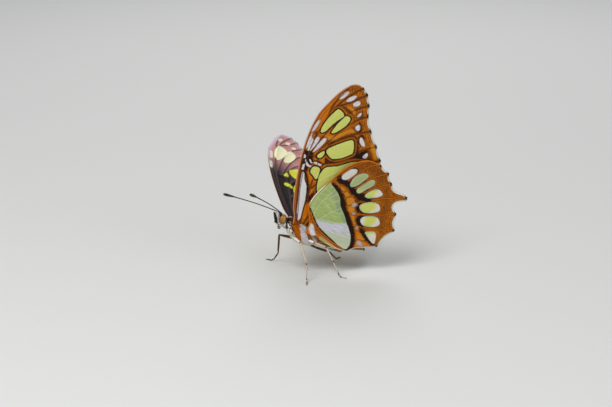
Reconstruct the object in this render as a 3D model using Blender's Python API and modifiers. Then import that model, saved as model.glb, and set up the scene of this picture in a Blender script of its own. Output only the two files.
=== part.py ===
"""A life-size malachite butterfly that stands with its wings half open.

The left wing is nearly upright and the right wing leans far out, and the body points its head up.
Lengths are in metres. Forward is -Y, the animal's left is +X and up is +Z. The floor is at height 0.
The body has a frame of its own, whose origin lies midway between the two forewing roots.
A wing is drawn flat, in millimetres: how far forward along the body, then how far out from its root.
"""

import math

import bmesh
import bpy
from mathutils import Vector
from mathutils.geometry import delaunay_2d_cdt

MM = 0.001
GAP = 0.3 * MM

# Stance: where the wing roots are over the floor, and how the body is pitched and rolled.
ROOTS_AT = (16.19, -7.68, 16.0)
BODY_PITCH = math.radians(27.0)
BODY_ROLL = math.radians(11.7)
ROOT_HALF = 2.0
WING_LIFT = {"left": math.radians(69.6), "right": math.radians(32.2)}
SIDES = {"left": 1, "right": -1}

# Wing thickness, the height of the veins and the step between the two wings of a side.
MEMBRANE = 0.5
VEIN_CREST = 0.9
VEIN_HALF = 0.45
VEIN_STEP = 1.9
FILL_STEP = 3.2
HINDWING_DROP = 1.25
WING_BOW = 0.8
WING_SPAN = 50.0
FOLD_LINE = 1.0
FOLD_RADIUS = 1.0

# Body sizes: the centre as (forward, left, up) and the half sizes in the same order.
THORAX = ((-4.2, 0.0, -1.6), (5.2, 2.9, 3.0))
THORAX_TILT = math.radians(10.0)
COLLAR = ((0.7, 0.0, -0.8), (2.1, 1.7, 1.7))
HEAD = ((2.8, 0.0, -0.45), (1.3, 1.6, 1.6))
EYE = ((2.85, 1.45, -0.38), (1.0, 0.85, 1.4))
ABDOMEN_AT = (-13.2, 0.0, -0.9)
ABDOMEN_LENGTH = 15.0
ABDOMEN_RADIUS = 2.05
ABDOMEN_TILT = math.radians(11.0)
ABDOMEN_SEGMENTS = 7
SEGMENT_GROOVE = 0.13

# Forewing: the front edge, the vein ends along the outer margin and the inner margin.
FOREWING_FRONT = [(-0.4, -0.4), (0.5, 2.1), (2.5, 5.5), (5.5, 13.6), (7.6, 21.1), (8.8, 28.5),
                  (8.8, 34.1), (8.0, 37.8), (6.6, 42.4), (4.6, 45.9), (2.8, 47.0), (1.0, 46.8)]
FOREWING_ENDS = [(1.0, 46.8), (-1.2, 45.5), (-3.3, 42.7), (-4.6, 39.6), (-7.6, 35.8),
                 (-11.4, 32.3), (-14.6, 28.9), (-16.6, 25.0)]
FOREWING_SAGS = [0.15, 0.35, 0.2, 0.5, 0.45, 0.5, 0.3]
FOREWING_REAR = [(-16.6, 25.0), (-15.9, 23.0), (-10.5, 13.0), (-6.0, 5.5), (-4.4, 2.0), (-4.2, -0.4)]
FOREWING_VEINS = {
    "subcosta": [(-1.0, 0.8), (1.4, 5.5), (4.6, 13.6), (6.9, 21.1), (8.2, 27.0), (8.8, 34.1)],
    "radius": [(-1.3, 0.8), (0.7, 5.5), (3.5, 12.5), (5.6, 21.0), (6.3, 27.5), (5.9, 33.0), (6.2, 38.5),
               (4.6, 45.9)],
    "radius_4": [(5.9, 33.0), (5.2, 38.0), (3.9, 41.7), (1.0, 46.8)],
    "radius_5": [(5.2, 38.0), (2.3, 41.0), (0.4, 43.4), (-1.2, 45.5)],
    "media_1": [(5.6, 21.0), (4.7, 26.0), (3.6, 31.0), (1.4, 37.0), (-0.7, 40.2), (-3.3, 42.7)],
    "media_2": [(3.7, 21.4), (2.4, 26.5), (0.4, 32.0), (-1.8, 36.4), (-4.6, 39.6)],
    "media_3": [(2.1, 20.4), (2.0, 24.4), (-0.6, 29.6), (-3.9, 33.0), (-7.6, 35.8)],
    "cubitus": [(-2.2, 0.8), (-0.9, 5.5), (0.2, 11.5), (1.1, 17.2), (2.1, 20.4), (3.7, 21.4), (5.6, 21.0)],
    "cubitus_1": [(1.1, 17.2), (-0.4, 21.0), (-3.2, 23.8), (-7.0, 28.2), (-11.4, 32.3)],
    "cubitus_2": [(0.2, 11.5), (-2.4, 16.4), (-7.4, 22.6), (-14.6, 28.9)],
    "anal_2": [(-3.2, 0.8), (-4.0, 5.5), (-8.6, 14.0), (-13.4, 21.6), (-16.6, 25.0)],
}

# Hindwing: the same three stretches. The outer margin has a tail, and the rear runs along the abdomen.
HINDWING_FRONT = [(-4.7, -0.8), (-4.5, 2.2), (-3.1, 4.6), (-1.8, 7.0), (-1.7, 9.6), (-2.5, 13.2),
                  (-3.8, 16.7), (-5.7, 22.0), (-7.3, 24.6), (-9.1, 26.4), (-11.6, 27.8), (-15.0, 28.0)]
HINDWING_ENDS = [(-15.0, 28.0), (-18.5, 26.7), (-20.8, 24.2)]
HINDWING_SAGS = [0.5, 0.6]
TAIL_FRONT = [(-20.8, 24.2), (-21.8, 22.8), (-23.4, 22.3), (-25.4, 22.5), (-27.1, 22.3)]
TAIL_REAR = [(-27.1, 22.3), (-27.2, 21.3), (-25.3, 20.0), (-24.4, 18.4), (-25.1, 17.0), (-26.7, 16.2)]
HINDWING_LOWER_ENDS = [(-26.7, 16.2), (-28.8, 11.2), (-26.4, 4.3)]
HINDWING_LOWER_SAGS = [0.7, 0.8]
HINDWING_FOOT = [(-26.4, 4.3), (-23.4, 2.7), (-20.6, 1.2), (-18.8, -0.9)]
HINDWING_REAR = [(-18.8, -0.9), (-15.6, -1.3), (-12.0, -1.2), (-9.4, -0.9), (-7.9, -0.3), (-6.9, -0.8)]
HINDWING_VEINS = {
    "subcosta": [(-5.1, 1.2), (-3.6, 5.5), (-2.9, 10.5), (-4.6, 17.0), (-8.0, 24.0), (-11.6, 27.8)],
    "radius": [(-5.4, 1.2), (-4.4, 5.5), (-4.9, 10.5), (-6.8, 15.5), (-9.2, 20.5), (-12.2, 26.0), (-15.0, 28.0)],
    "media_1": [(-4.9, 10.5), (-8.6, 15.0), (-12.0, 18.5), (-14.8, 23.2), (-18.5, 26.7)],
    "media_2": [(-6.7, 9.6), (-10.2, 13.8), (-14.2, 17.4), (-17.6, 21.4), (-20.8, 24.2)],
    "media_3": [(-8.7, 8.2), (-12.2, 12.0), (-15.6, 15.2), (-19.8, 18.2), (-24.2, 20.8), (-27.1, 22.3)],
    "cubitus": [(-5.8, 1.2), (-6.8, 5.0), (-8.7, 8.2), (-6.7, 9.6), (-4.9, 10.5)],
    "cubitus_1": [(-8.7, 8.2), (-12.4, 9.4), (-17.0, 11.3), (-22.0, 13.6), (-26.7, 16.2)],
    "cubitus_2": [(-6.8, 5.0), (-10.2, 5.5), (-14.2, 6.5), (-19.2, 8.1), (-24.2, 9.5), (-28.8, 11.2)],
    "anal_2": [(-6.2, 1.2), (-9.0, 2.8), (-13.4, 2.6), (-18.4, 3.4), (-22.8, 4.4), (-26.4, 4.3)],
    "anal_3": [(-6.2, 1.2), (-9.4, 0.5), (-14.0, -0.2), (-18.8, -0.9)],
}

# Feelers and mouthparts in the body's frame, as (forward, left, up, radius).
ANTENNA = {
    "left": [(3.3, 0.4, 0.2, 0.25), (4.3, 1.0, 1.2, 0.25), (9.0, 5.0, 1.9, 0.25), (14.6, 10.4, 2.1, 0.28),
             (16.3, 12.1, 2.1, 0.5), (17.3, 13.1, 2.0, 0.46), (17.8, 13.6, 2.0, 0.12)],
    "right": [(3.3, -0.4, 0.2, 0.25), (4.3, -1.0, 1.1, 0.25), (10.0, -5.4, 0.8, 0.25), (16.2, -10.6, -0.1, 0.28),
              (18.0, -12.1, -0.4, 0.5), (19.0, -12.9, -0.6, 0.46), (19.5, -13.3, -0.7, 0.12)],
}
PALP = [(3.3, 0.72, -1.3, 0.36), (4.0, 0.78, -1.85, 0.38), (4.6, 0.78, -1.1, 0.38), (5.1, 0.7, -0.3, 0.3),
        (5.75, 0.62, 0.5, 0.12)]
PROBOSCIS_ROOT = (2.9, 0.0, -1.4)
PROBOSCIS_CENTRE = (2.45, 0.0, -3.0)
PROBOSCIS_OUTER = 0.6
PROBOSCIS_INNER = 0.38
PROBOSCIS_TURNS = 0.8
PROBOSCIS_RADIUS = 0.2

# Legs as (forward, left, height over the floor, radius), from the wing roots' place on the floor.
FOOT_HEIGHT = 0.2
LEGS = {
    "midleg_left": [(-0.6, 1.4, 11.6, 0.45), (-2.25, 4.5, 10.6, 0.45), (-3.6, 8.5, 5.0, 0.34),
                    (-3.35, 10.9, 1.0, 0.28), (-3.2, 12.0, FOOT_HEIGHT, 0.27), (-3.0, 13.6, FOOT_HEIGHT, 0.25)],
    "hindleg_left": [(-4.4, 2.1, 10.9, 0.4), (-6.7, 3.2, 10.0, 0.38), (-10.3, 3.3, 8.4, 0.34), (-12.2, 5.0, 4.4, 0.3),
                     (-13.5, 7.0, 1.0, 0.27), (-14.2, 7.6, FOOT_HEIGHT, 0.26), (-15.3, 8.5, FOOT_HEIGHT, 0.25)],
    "midleg_right": [(-2.0, -0.8, 10.4, 0.45), (2.5, -7.2, 9.9, 0.42), (2.4, -11.0, 3.0, 0.34),
                     (3.4, -12.2, 0.9, 0.28), (4.2, -13.1, FOOT_HEIGHT, 0.27), (5.4, -14.3, FOOT_HEIGHT, 0.25)],
    "hindleg_right": [(-3.6, -0.2, 10.0, 0.45), (-7.8, -2.6, 6.9, 0.42), (-13.2, -8.6, 3.4, 0.34),
                      (-15.2, -11.0, 0.9, 0.28), (-16.0, -12.0, FOOT_HEIGHT, 0.27),
                      (-17.2, -13.2, FOOT_HEIGHT, 0.25)],
}
FORELEG = [(-1.6, 1.5, -2.3, 0.36), (-1.2, 2.6, -3.0, 0.32), (-0.2, 2.45, -2.1, 0.28), (1.0, 2.1, -1.0, 0.14)]

# The smooth parts' mesh steps.
SPHERE_AROUND = 24
SPHERE_RINGS = 16
SCREW_STEPS = 24
TUBE_STEPS = 4


def in_body(forward, left, up):
    """A point of the body's frame, from millimetres."""
    return Vector((left, -forward, up)) * MM


def smooth_line(points, step):
    """A Catmull-Rom line through the points that keeps each of them, with stretches of about one step."""
    points = [Vector(point) for point in points]
    line = [points[0]]
    for index in range(len(points) - 1):
        start, end = points[index], points[index + 1]
        before = points[index - 1] if index > 0 else start * 2 - end
        after = points[index + 2] if index + 2 < len(points) else end * 2 - start
        count = max(1, round((end - start).length / step))
        for part in range(1, count):
            t = part / count
            line.append(0.5 * (2 * start + (end - before) * t
                               + (2 * before - 5 * start + 4 * end - after) * t ** 2
                               + (3 * start - before - 3 * end + after) * t ** 3))
        line.append(end)
    return line


def scallop(start, end, sag):
    """The outer margin between two vein ends: a shallow bay that goes in towards the body by its sag."""
    start, end = Vector(start), Vector(end)
    along = end - start
    inward = Vector((-along.y, along.x)).normalized()
    if inward.dot(-start) < 0:
        inward = -inward
    return [start, start + along * 0.5 + inward * sag, end]


def add_object(name, mesh, parent, collection):
    obj = bpy.data.objects.new(name, mesh)
    obj.parent = parent
    collection.objects.link(obj)
    return obj


def add_material(obj, name, colour, roughness):
    """Give the object a plain Principled surface."""
    material = bpy.data.materials.get(name) or bpy.data.materials.new(name)
    material.use_nodes = True
    shader = material.node_tree.nodes["Principled BSDF"]
    shader.inputs["Base Color"].default_value = (*colour, 1.0)
    shader.inputs["Roughness"].default_value = roughness
    shader.inputs["Metallic"].default_value = 0.0
    obj.data.materials.append(material)


def add_ellipsoid(name, shape, parent, collection, side=1, grow=0.0, tilt=0.0):
    """A ball scaled to its half sizes about its centre. Grow makes it larger all round, tilt lifts its front."""
    centre, halves = shape
    ball = bmesh.new()
    bmesh.ops.create_uvsphere(ball, u_segments=SPHERE_AROUND, v_segments=SPHERE_RINGS, radius=1.0)
    sizes = Vector((halves[1], halves[0], halves[2])) * MM + Vector((grow, grow, grow))
    bmesh.ops.scale(ball, vec=sizes, verts=ball.verts)
    mesh = bpy.data.meshes.new(name)
    ball.to_mesh(mesh)
    ball.free()
    mesh.shade_smooth()
    obj = add_object(name, mesh, parent, collection)
    obj.location = in_body(centre[0], centre[1] * side, centre[2])
    obj.rotation_euler = (-tilt, 0.0, 0.0)
    return obj


def add_tube(name, points, parent, collection):
    """A round bar through points of x, y, z and radius, in metres, with closed ends, as a mesh."""
    curve = bpy.data.curves.new(name, "CURVE")
    curve.dimensions = "3D"
    curve.bevel_depth = 1.0
    curve.bevel_resolution = 3
    curve.use_fill_caps = True
    spline = curve.splines.new("POLY")
    spline.points.add(len(points) - 1)
    for knot, point in zip(spline.points, points):
        knot.co = (*point[:3], 1.0)
        knot.radius = point[3]
    guide = bpy.data.objects.new(name + "_line", curve)
    collection.objects.link(guide)
    graph = bpy.context.evaluated_depsgraph_get()
    mesh = bpy.data.meshes.new_from_object(guide.evaluated_get(graph))
    bpy.data.objects.remove(guide)
    skin = bmesh.new()
    skin.from_mesh(mesh)
    bmesh.ops.remove_doubles(skin, verts=skin.verts, dist=0.002 * MM)
    bmesh.ops.recalc_face_normals(skin, faces=skin.faces)
    skin.to_mesh(mesh)
    skin.free()
    mesh.shade_smooth()
    return add_object(name, mesh, parent, collection)


def join_with(obj, addition):
    """Make the object one body with the addition, which is a hidden part that overlaps it."""
    join = obj.modifiers.new("with_" + addition.name, "BOOLEAN")
    join.operation = "UNION"
    join.solver = "EXACT"
    join.object = addition


def clear_of(obj, cutter, solver="EXACT"):
    """Cut the object back from a grown copy of its neighbour, so that the two stay a gap apart."""
    cut = obj.modifiers.new("clear_of_" + cutter.name, "BOOLEAN")
    cut.operation = "DIFFERENCE"
    cut.solver = solver
    cut.object = cutter


def as_cutter(obj):
    obj.hide_render = True
    obj.display_type = "WIRE"
    return obj


def distance_to_line(point, line):
    nearest = math.inf
    for start, end in zip(line[:-1], line[1:]):
        along = end - start
        share = min(max((point - start).dot(along) / along.length_squared, 0.0), 1.0)
        nearest = min(nearest, (point - start - along * share).length)
    return nearest


def is_inside(point, outline):
    inside = False
    for start, end in zip(outline, outline[1:] + outline[:1]):
        if (start.y > point.y) != (end.y > point.y):
            crossing = start.x + (point.y - start.y) / (end.y - start.y) * (end.x - start.x)
            if point.x < crossing:
                inside = not inside
    return inside


def forewing_outline():
    outline = smooth_line(FOREWING_FRONT, VEIN_STEP)[:-1]
    for start, end, sag in zip(FOREWING_ENDS, FOREWING_ENDS[1:], FOREWING_SAGS):
        outline += smooth_line(scallop(start, end, sag), 1.2)[:-1]
    outline += smooth_line(FOREWING_REAR, 2.4)
    return outline


def hindwing_outline():
    outline = smooth_line(HINDWING_FRONT, VEIN_STEP)[:-1]
    for start, end, sag in zip(HINDWING_ENDS, HINDWING_ENDS[1:], HINDWING_SAGS):
        outline += smooth_line(scallop(start, end, sag), 1.2)[:-1]
    outline += smooth_line(TAIL_FRONT, 1.0)[:-1]
    outline += smooth_line(TAIL_REAR, 1.0)[:-1]
    for start, end, sag in zip(HINDWING_LOWER_ENDS, HINDWING_LOWER_ENDS[1:], HINDWING_LOWER_SAGS):
        outline += smooth_line(scallop(start, end, sag), 1.3)[:-1]
    outline += smooth_line(HINDWING_FOOT, 1.6)[:-1]
    outline += smooth_line(HINDWING_REAR, 1.8)
    return outline


def vein_rows(veins, outline):
    """The crest lines of the veins, and the points along both feet of each ridge."""
    crests = [smooth_line(points, VEIN_STEP) for points in veins.values()]
    rim = outline + outline[:1]
    feet = []
    for number, crest in enumerate(crests):
        others = [line for index, line in enumerate(crests) if index != number]
        for before, here, after in zip(crest[:-2], crest[1:-1], crest[2:]):
            along = (after - before).normalized()
            across = Vector((-along.y, along.x)) * VEIN_HALF
            for foot in (here + across, here - across):
                clear = all(distance_to_line(foot, line) > 0.9 * VEIN_HALF for line in others)
                apart = all((foot - placed).length > 0.6 * VEIN_HALF for placed in feet)
                if clear and apart and is_inside(foot, outline) and distance_to_line(foot, rim) > VEIN_HALF:
                    feet.append(foot)
    return crests, feet


def fill_points(outline, crests):
    """Points on a staggered grid in the open membrane, away from the rim and the veins."""
    rim = outline + outline[:1]
    low_x, high_x = min(point.x for point in outline), max(point.x for point in outline)
    low_y, high_y = min(point.y for point in outline), max(point.y for point in outline)
    points = []
    row = 0
    y = low_y
    while y < high_y:
        x = low_x + (row % 2) * FILL_STEP / 2
        while x < high_x:
            point = Vector((x, y))
            if is_inside(point, outline) and distance_to_line(point, rim) > 0.45 * FILL_STEP:
                if all(distance_to_line(point, crest) > 0.45 * FILL_STEP for crest in crests):
                    points.append(point)
            x += FILL_STEP
        y += FILL_STEP * math.sqrt(0.75)
        row += 1
    return points


def wing_height(out, drop):
    """How far the wing's middle surface lies over its flat drawing: a gentle bow, less the hindwing's drop."""
    return WING_BOW * math.sin(math.pi * max(out, 0.0) / WING_SPAN) - drop


def folded(out, height, fold):
    """Bend what lies inside the fold line down by the fold angle, on a small radius."""
    inside = FOLD_LINE - out
    if inside <= 0.0 or fold == 0.0:
        return out, height
    turned = min(inside / FOLD_RADIUS, fold)
    straight = inside - turned * FOLD_RADIUS
    back = FOLD_RADIUS * math.sin(turned) + straight * math.cos(turned)
    down = FOLD_RADIUS * (1.0 - math.cos(turned)) + straight * math.sin(turned)
    return FOLD_LINE - back, height - down


def add_wing(name, outline, veins, side, drop, fold, parent, collection):
    """A membrane of triangles that are alike on both faces, with its veins raised as ridges on each."""
    crests, feet = vein_rows(veins, outline)
    fill = fill_points(outline, crests)
    drawn = list(outline)
    edges = []
    for crest in crests:
        first = len(drawn)
        drawn += crest
        edges += [(index, index + 1) for index in range(first, len(drawn) - 1)]
    crest_numbers = range(len(outline), len(drawn))
    drawn += feet + fill
    flat = [Vector((side * point.y, -point.x)) for point in drawn]
    rim = [list(range(len(outline)))]
    points, _, triangles, sources, _, _ = delaunay_2d_cdt(flat, edges, rim, 0, 1e-4, True)
    rim_line = flat[:len(outline)]
    triangles = [corners for corners in triangles
                 if is_inside(sum((points[corner] for corner in corners), Vector((0.0, 0.0))) / 3, rim_line)]
    places = []
    for point in points:
        out, forward = side * point.x, -point.y
        out, height = folded(out, wing_height(out, drop), fold)
        places.append(Vector((side * out, -forward, height)) * MM)
    mesh = bpy.data.meshes.new(name)
    mesh.from_pydata(places, [], triangles)
    obj = add_object(name, mesh, parent, collection)
    group = obj.vertex_groups.new(name="veins")
    raised = [index for index, source in enumerate(sources) if any(number in crest_numbers for number in source)]
    group.add(raised, 1.0, "REPLACE")
    shell = obj.modifiers.new("thickness", "SOLIDIFY")
    shell.thickness = VEIN_CREST * MM
    shell.offset = 0.0
    shell.vertex_group = group.name
    shell.thickness_vertex_group = MEMBRANE / VEIN_CREST
    obj.location = in_body(0.0, side * ROOT_HALF, 0.0)
    return obj


def add_wings(side_name, body, collection, thorax_cutter, abdomen_cutter):
    side = SIDES[side_name]
    lift = WING_LIFT[side_name]
    fold = math.pi / 2 - lift
    forewing = add_wing("forewing_" + side_name, forewing_outline(), FOREWING_VEINS, side, 0.0, 0.0,
                        body, collection)
    hindwing = add_wing("hindwing_" + side_name, hindwing_outline(), HINDWING_VEINS, side, HINDWING_DROP, fold,
                        body, collection)
    for wing in (forewing, hindwing):
        wing.rotation_euler = (0.0, -side * lift, 0.0)
        clear_of(wing, thorax_cutter, "MANIFOLD")
        add_material(wing, "wing_scales", (0.45, 0.2, 0.04), 0.6)
    clear_of(hindwing, abdomen_cutter, "MANIFOLD")


def abdomen_radius(share):
    """The abdomen's radius at a share of its length from the front, with a groove between segments."""
    swell = math.sin(math.pi * (0.12 + 0.88 * share) ** 0.85) ** 0.62
    groove = SEGMENT_GROOVE * (0.5 + 0.5 * math.cos(2 * math.pi * ABDOMEN_SEGMENTS * share)) ** 3
    return ABDOMEN_RADIUS * swell - groove * swell


def add_abdomen(name, body, collection, grow=0.0):
    """A turned body of ringed segments along its own Z axis, which is then laid along the body."""
    count = 4 * ABDOMEN_SEGMENTS
    half = ABDOMEN_LENGTH / 2
    profile = [(0.0, 0.0, half * MM + grow)]
    for index in range(1, count):
        share = index / count
        profile.append((abdomen_radius(share) * MM + grow, 0.0, half * (1 - 2 * share) * MM))
    profile.append((0.0, 0.0, -half * MM - grow))
    mesh = bpy.data.meshes.new(name)
    mesh.from_pydata(profile, [(index, index + 1) for index in range(len(profile) - 1)], [])
    obj = add_object(name, mesh, body, collection)
    turn = obj.modifiers.new("turned", "SCREW")
    turn.angle = 2 * math.pi
    turn.steps = SCREW_STEPS
    turn.render_steps = SCREW_STEPS
    turn.use_merge_vertices = True
    turn.merge_threshold = 1e-6
    turn.use_smooth_shade = True
    obj.rotation_euler = (math.pi / 2 + ABDOMEN_TILT, 0.0, 0.0)
    obj.location = in_body(*ABDOMEN_AT)
    return obj


def add_antenna(side_name, body, collection, head_cutter, eye_cutter):
    knots = smooth_line([(*in_body(*point[:3]) / MM, point[3]) for point in ANTENNA[side_name]], 1.1)
    antenna = add_tube("antenna_" + side_name, [knot * MM for knot in knots], body, collection)
    clear_of(antenna, head_cutter, "MANIFOLD")
    clear_of(antenna, eye_cutter, "MANIFOLD")
    add_material(antenna, "feeler", (0.03, 0.025, 0.02), 0.5)


def add_palp(side_name, body, collection, head_cutter, eye_cutter):
    side = SIDES[side_name]
    knots = smooth_line([(*in_body(forward, left * side, up) / MM, radius) for forward, left, up, radius in PALP], 0.5)
    palp = add_tube("palp_" + side_name, [knot * MM for knot in knots], body, collection)
    clear_of(palp, head_cutter)
    clear_of(palp, eye_cutter)
    add_material(palp, "palp_hair", (0.06, 0.045, 0.04), 0.7)


def add_proboscis(body, collection, head_cutter):
    """The tongue, coiled under the head, with its root run up into the mouth."""
    forward, _, up = PROBOSCIS_CENTRE
    steps = 24
    knots = [(*in_body(*PROBOSCIS_ROOT), PROBOSCIS_RADIUS * MM)]
    for index in range(steps + 1):
        share = index / steps
        angle = math.radians(50.0) - share * PROBOSCIS_TURNS * 2 * math.pi
        radius = PROBOSCIS_OUTER + (PROBOSCIS_INNER - PROBOSCIS_OUTER) * share
        place = in_body(forward + radius * math.cos(angle), 0.0, up + radius * math.sin(angle))
        knots.append((*place, PROBOSCIS_RADIUS * MM))
    proboscis = add_tube("proboscis", knots, body, collection)
    clear_of(proboscis, head_cutter)
    add_material(proboscis, "tongue", (0.05, 0.03, 0.02), 0.4)


def add_foreleg(side_name, body, collection, thorax_cutter):
    """The short front leg, folded against the thorax."""
    side = SIDES[side_name]
    knots = smooth_line([(*in_body(forward, left * side, up) / MM, radius) for forward, left, up, radius in FORELEG], 0.6)
    foreleg = add_tube("foreleg_" + side_name, [knot * MM for knot in knots], body, collection)
    clear_of(foreleg, thorax_cutter)
    add_material(foreleg, "leg", (0.5, 0.43, 0.33), 0.55)


def add_leg(name, stance, collection, thorax_cutter):
    """A walking leg down to a foot that lies along the floor on a small flat."""
    knots = smooth_line([(left, -forward, height, radius) for forward, left, height, radius in LEGS[name]], 1.3)
    leg = add_tube(name, [knot * MM for knot in knots], stance, collection)
    skin = bmesh.new()
    skin.from_mesh(leg.data)
    everything = skin.verts[:] + skin.edges[:] + skin.faces[:]
    cut = bmesh.ops.bisect_plane(skin, geom=everything, dist=1e-7, plane_co=(0.0, 0.0, 0.0),
                                 plane_no=(0.0, 0.0, 1.0), clear_inner=True)
    rim = [item for item in cut["geom_cut"] if isinstance(item, bmesh.types.BMEdge)]
    bmesh.ops.holes_fill(skin, edges=rim, sides=0)
    bmesh.ops.triangulate(skin, faces=skin.faces)
    skin.to_mesh(leg.data)
    skin.free()
    clear_of(leg, thorax_cutter)
    add_material(leg, "leg", (0.5, 0.43, 0.33), 0.55)


def add_frame(collection):
    """The stance stands on the floor under the wing roots, and the body hangs from it, pitched and rolled."""
    stance = bpy.data.objects.new("stance", None)
    collection.objects.link(stance)
    stance.location = Vector((ROOTS_AT[0], ROOTS_AT[1], 0.0)) * MM
    body = bpy.data.objects.new("body", None)
    collection.objects.link(body)
    body.parent = stance
    body.location = (0.0, 0.0, ROOTS_AT[2] * MM)
    body.rotation_mode = "YXZ"
    body.rotation_euler = (-BODY_PITCH, -BODY_ROLL, 0.0)
    return stance, body


def main():
    for obj in list(bpy.data.objects):
        bpy.data.objects.remove(obj)
    butterfly = bpy.data.collections.new("malachite_butterfly")
    cutters = bpy.data.collections.new("cutters")
    bpy.context.scene.collection.children.link(butterfly)
    bpy.context.scene.collection.children.link(cutters)
    stance, body = add_frame(butterfly)

    head_cutter = as_cutter(add_ellipsoid("head_room", HEAD, body, cutters, grow=GAP))
    thorax_cutter = as_cutter(add_ellipsoid("thorax_room", THORAX, body, cutters, grow=GAP, tilt=THORAX_TILT))
    abdomen_cutter = as_cutter(add_abdomen("abdomen_room", body, cutters, grow=GAP))

    head = add_ellipsoid("head", HEAD, body, butterfly)
    add_material(head, "head_hair", (0.35, 0.2, 0.09), 0.7)
    thorax = add_ellipsoid("thorax", THORAX, body, butterfly, tilt=THORAX_TILT)
    join_with(thorax, as_cutter(add_ellipsoid("collar", COLLAR, body, cutters)))
    clear_of(thorax, head_cutter)
    add_material(thorax, "body_hair", (0.6, 0.38, 0.16), 0.75)
    abdomen = add_abdomen("abdomen", body, butterfly)
    clear_of(abdomen, thorax_cutter)
    add_material(abdomen, "belly_hair", (0.55, 0.45, 0.28), 0.75)
    add_proboscis(body, butterfly, head_cutter)

    for side_name, side in SIDES.items():
        eye_room = as_cutter(add_ellipsoid("eye_room_" + side_name, EYE, body, cutters, side, GAP))
        clear_of(head, eye_room)
        clear_of(thorax, eye_room)
        eye = add_ellipsoid("eye_" + side_name, EYE, body, butterfly, side)
        add_material(eye, "eye", (0.45, 0.2, 0.03), 0.25)
        add_antenna(side_name, body, butterfly, head_cutter, eye_room)
        add_palp(side_name, body, butterfly, head_cutter, eye_room)
        add_foreleg(side_name, body, butterfly, thorax_cutter)
        add_wings(side_name, body, butterfly, thorax_cutter, abdomen_cutter)
    for name in LEGS:
        add_leg(name, stance, butterfly, thorax_cutter)


main()
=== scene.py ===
"""The looks of a malachite butterfly that stands with its wings half open.

The solid frame gives the places and sizes. This script dresses it: thin veined wings with the green,
orange and lilac markings of both sides, a fringe along each margin, a haired and striped body, banded
eyes, ringed feelers with clubs, and jointed, spined legs.

Wings are drawn flat in millimetres, as (forward along the body, outward from the root). The body has a
frame of its own between the wing roots: forward, left and up, in millimetres.
"""

import math

import bmesh
import bpy
import numpy as np
from bpy.props import FloatProperty, FloatVectorProperty, IntProperty, PointerProperty
from mathutils import Euler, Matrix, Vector
from mathutils.geometry import delaunay_2d_cdt


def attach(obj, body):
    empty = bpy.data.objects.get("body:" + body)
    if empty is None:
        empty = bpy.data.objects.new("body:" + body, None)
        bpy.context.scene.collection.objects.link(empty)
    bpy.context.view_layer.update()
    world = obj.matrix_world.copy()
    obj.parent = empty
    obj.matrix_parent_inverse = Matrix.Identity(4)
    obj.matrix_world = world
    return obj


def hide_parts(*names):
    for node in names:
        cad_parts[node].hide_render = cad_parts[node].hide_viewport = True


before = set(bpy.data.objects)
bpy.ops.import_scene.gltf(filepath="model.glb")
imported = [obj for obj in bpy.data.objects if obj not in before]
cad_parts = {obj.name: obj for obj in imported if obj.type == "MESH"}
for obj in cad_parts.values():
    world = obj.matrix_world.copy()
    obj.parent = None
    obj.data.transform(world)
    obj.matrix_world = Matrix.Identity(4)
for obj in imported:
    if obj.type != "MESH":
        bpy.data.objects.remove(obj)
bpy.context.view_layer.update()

bl_info = {
    "name": "Malachite Butterfly",
    "version": (1, 0, 0),
    "blender": (4, 5, 0),
    "location": "View3D > Sidebar > Butterfly",
    "description": "Dresses the solid frame of a butterfly with patterned wings, hair, feelers and legs",
    "category": "Add Mesh",
}

MM = 0.001

# Stance: the place midway between the wing roots, and the body's pitch and roll.
ROOTS_AT = np.array((16.19, -7.68, 16.0))
BODY_PITCH = math.radians(27.0)
BODY_ROLL = math.radians(11.7)
ROOT_HALF = 2.0
WING_LIFT = {"left": math.radians(69.6), "right": math.radians(32.2)}
SIDES = {"left": 1, "right": -1}
HINDWING_DROP = 1.25
WING_BOW = 0.8
WING_SPAN = 50.0

# The hindwings bend down beside the abdomen, inside this line and on this radius.
FOLD_LINE = 1.0
FOLD_RADIUS = 1.0

# The spacing along drawn lines, a vein's half width, how clear its feet stay of other veins and the rim,
# and how far from a vein the membrane is lowest.
LINE_STEP = 0.4
VEIN_FOOT = 0.26
VEIN_CLEAR = 0.22
RIM_CLEAR = 0.2
VEIN_SLOPE = 2.2

# A bay of the margin turns white this far from a vein's end, over the soft part.
BAY_FROM = 0.55
BAY_SOFT = 0.6

# The fringe's spacing, its scales at each place, how far in they start, and its random seed.
FRINGE_STEP = 0.09
FRINGE_SCALES = 3
FRINGE_ROOT = 0.12
FRINGE_SEED = 5

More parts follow.
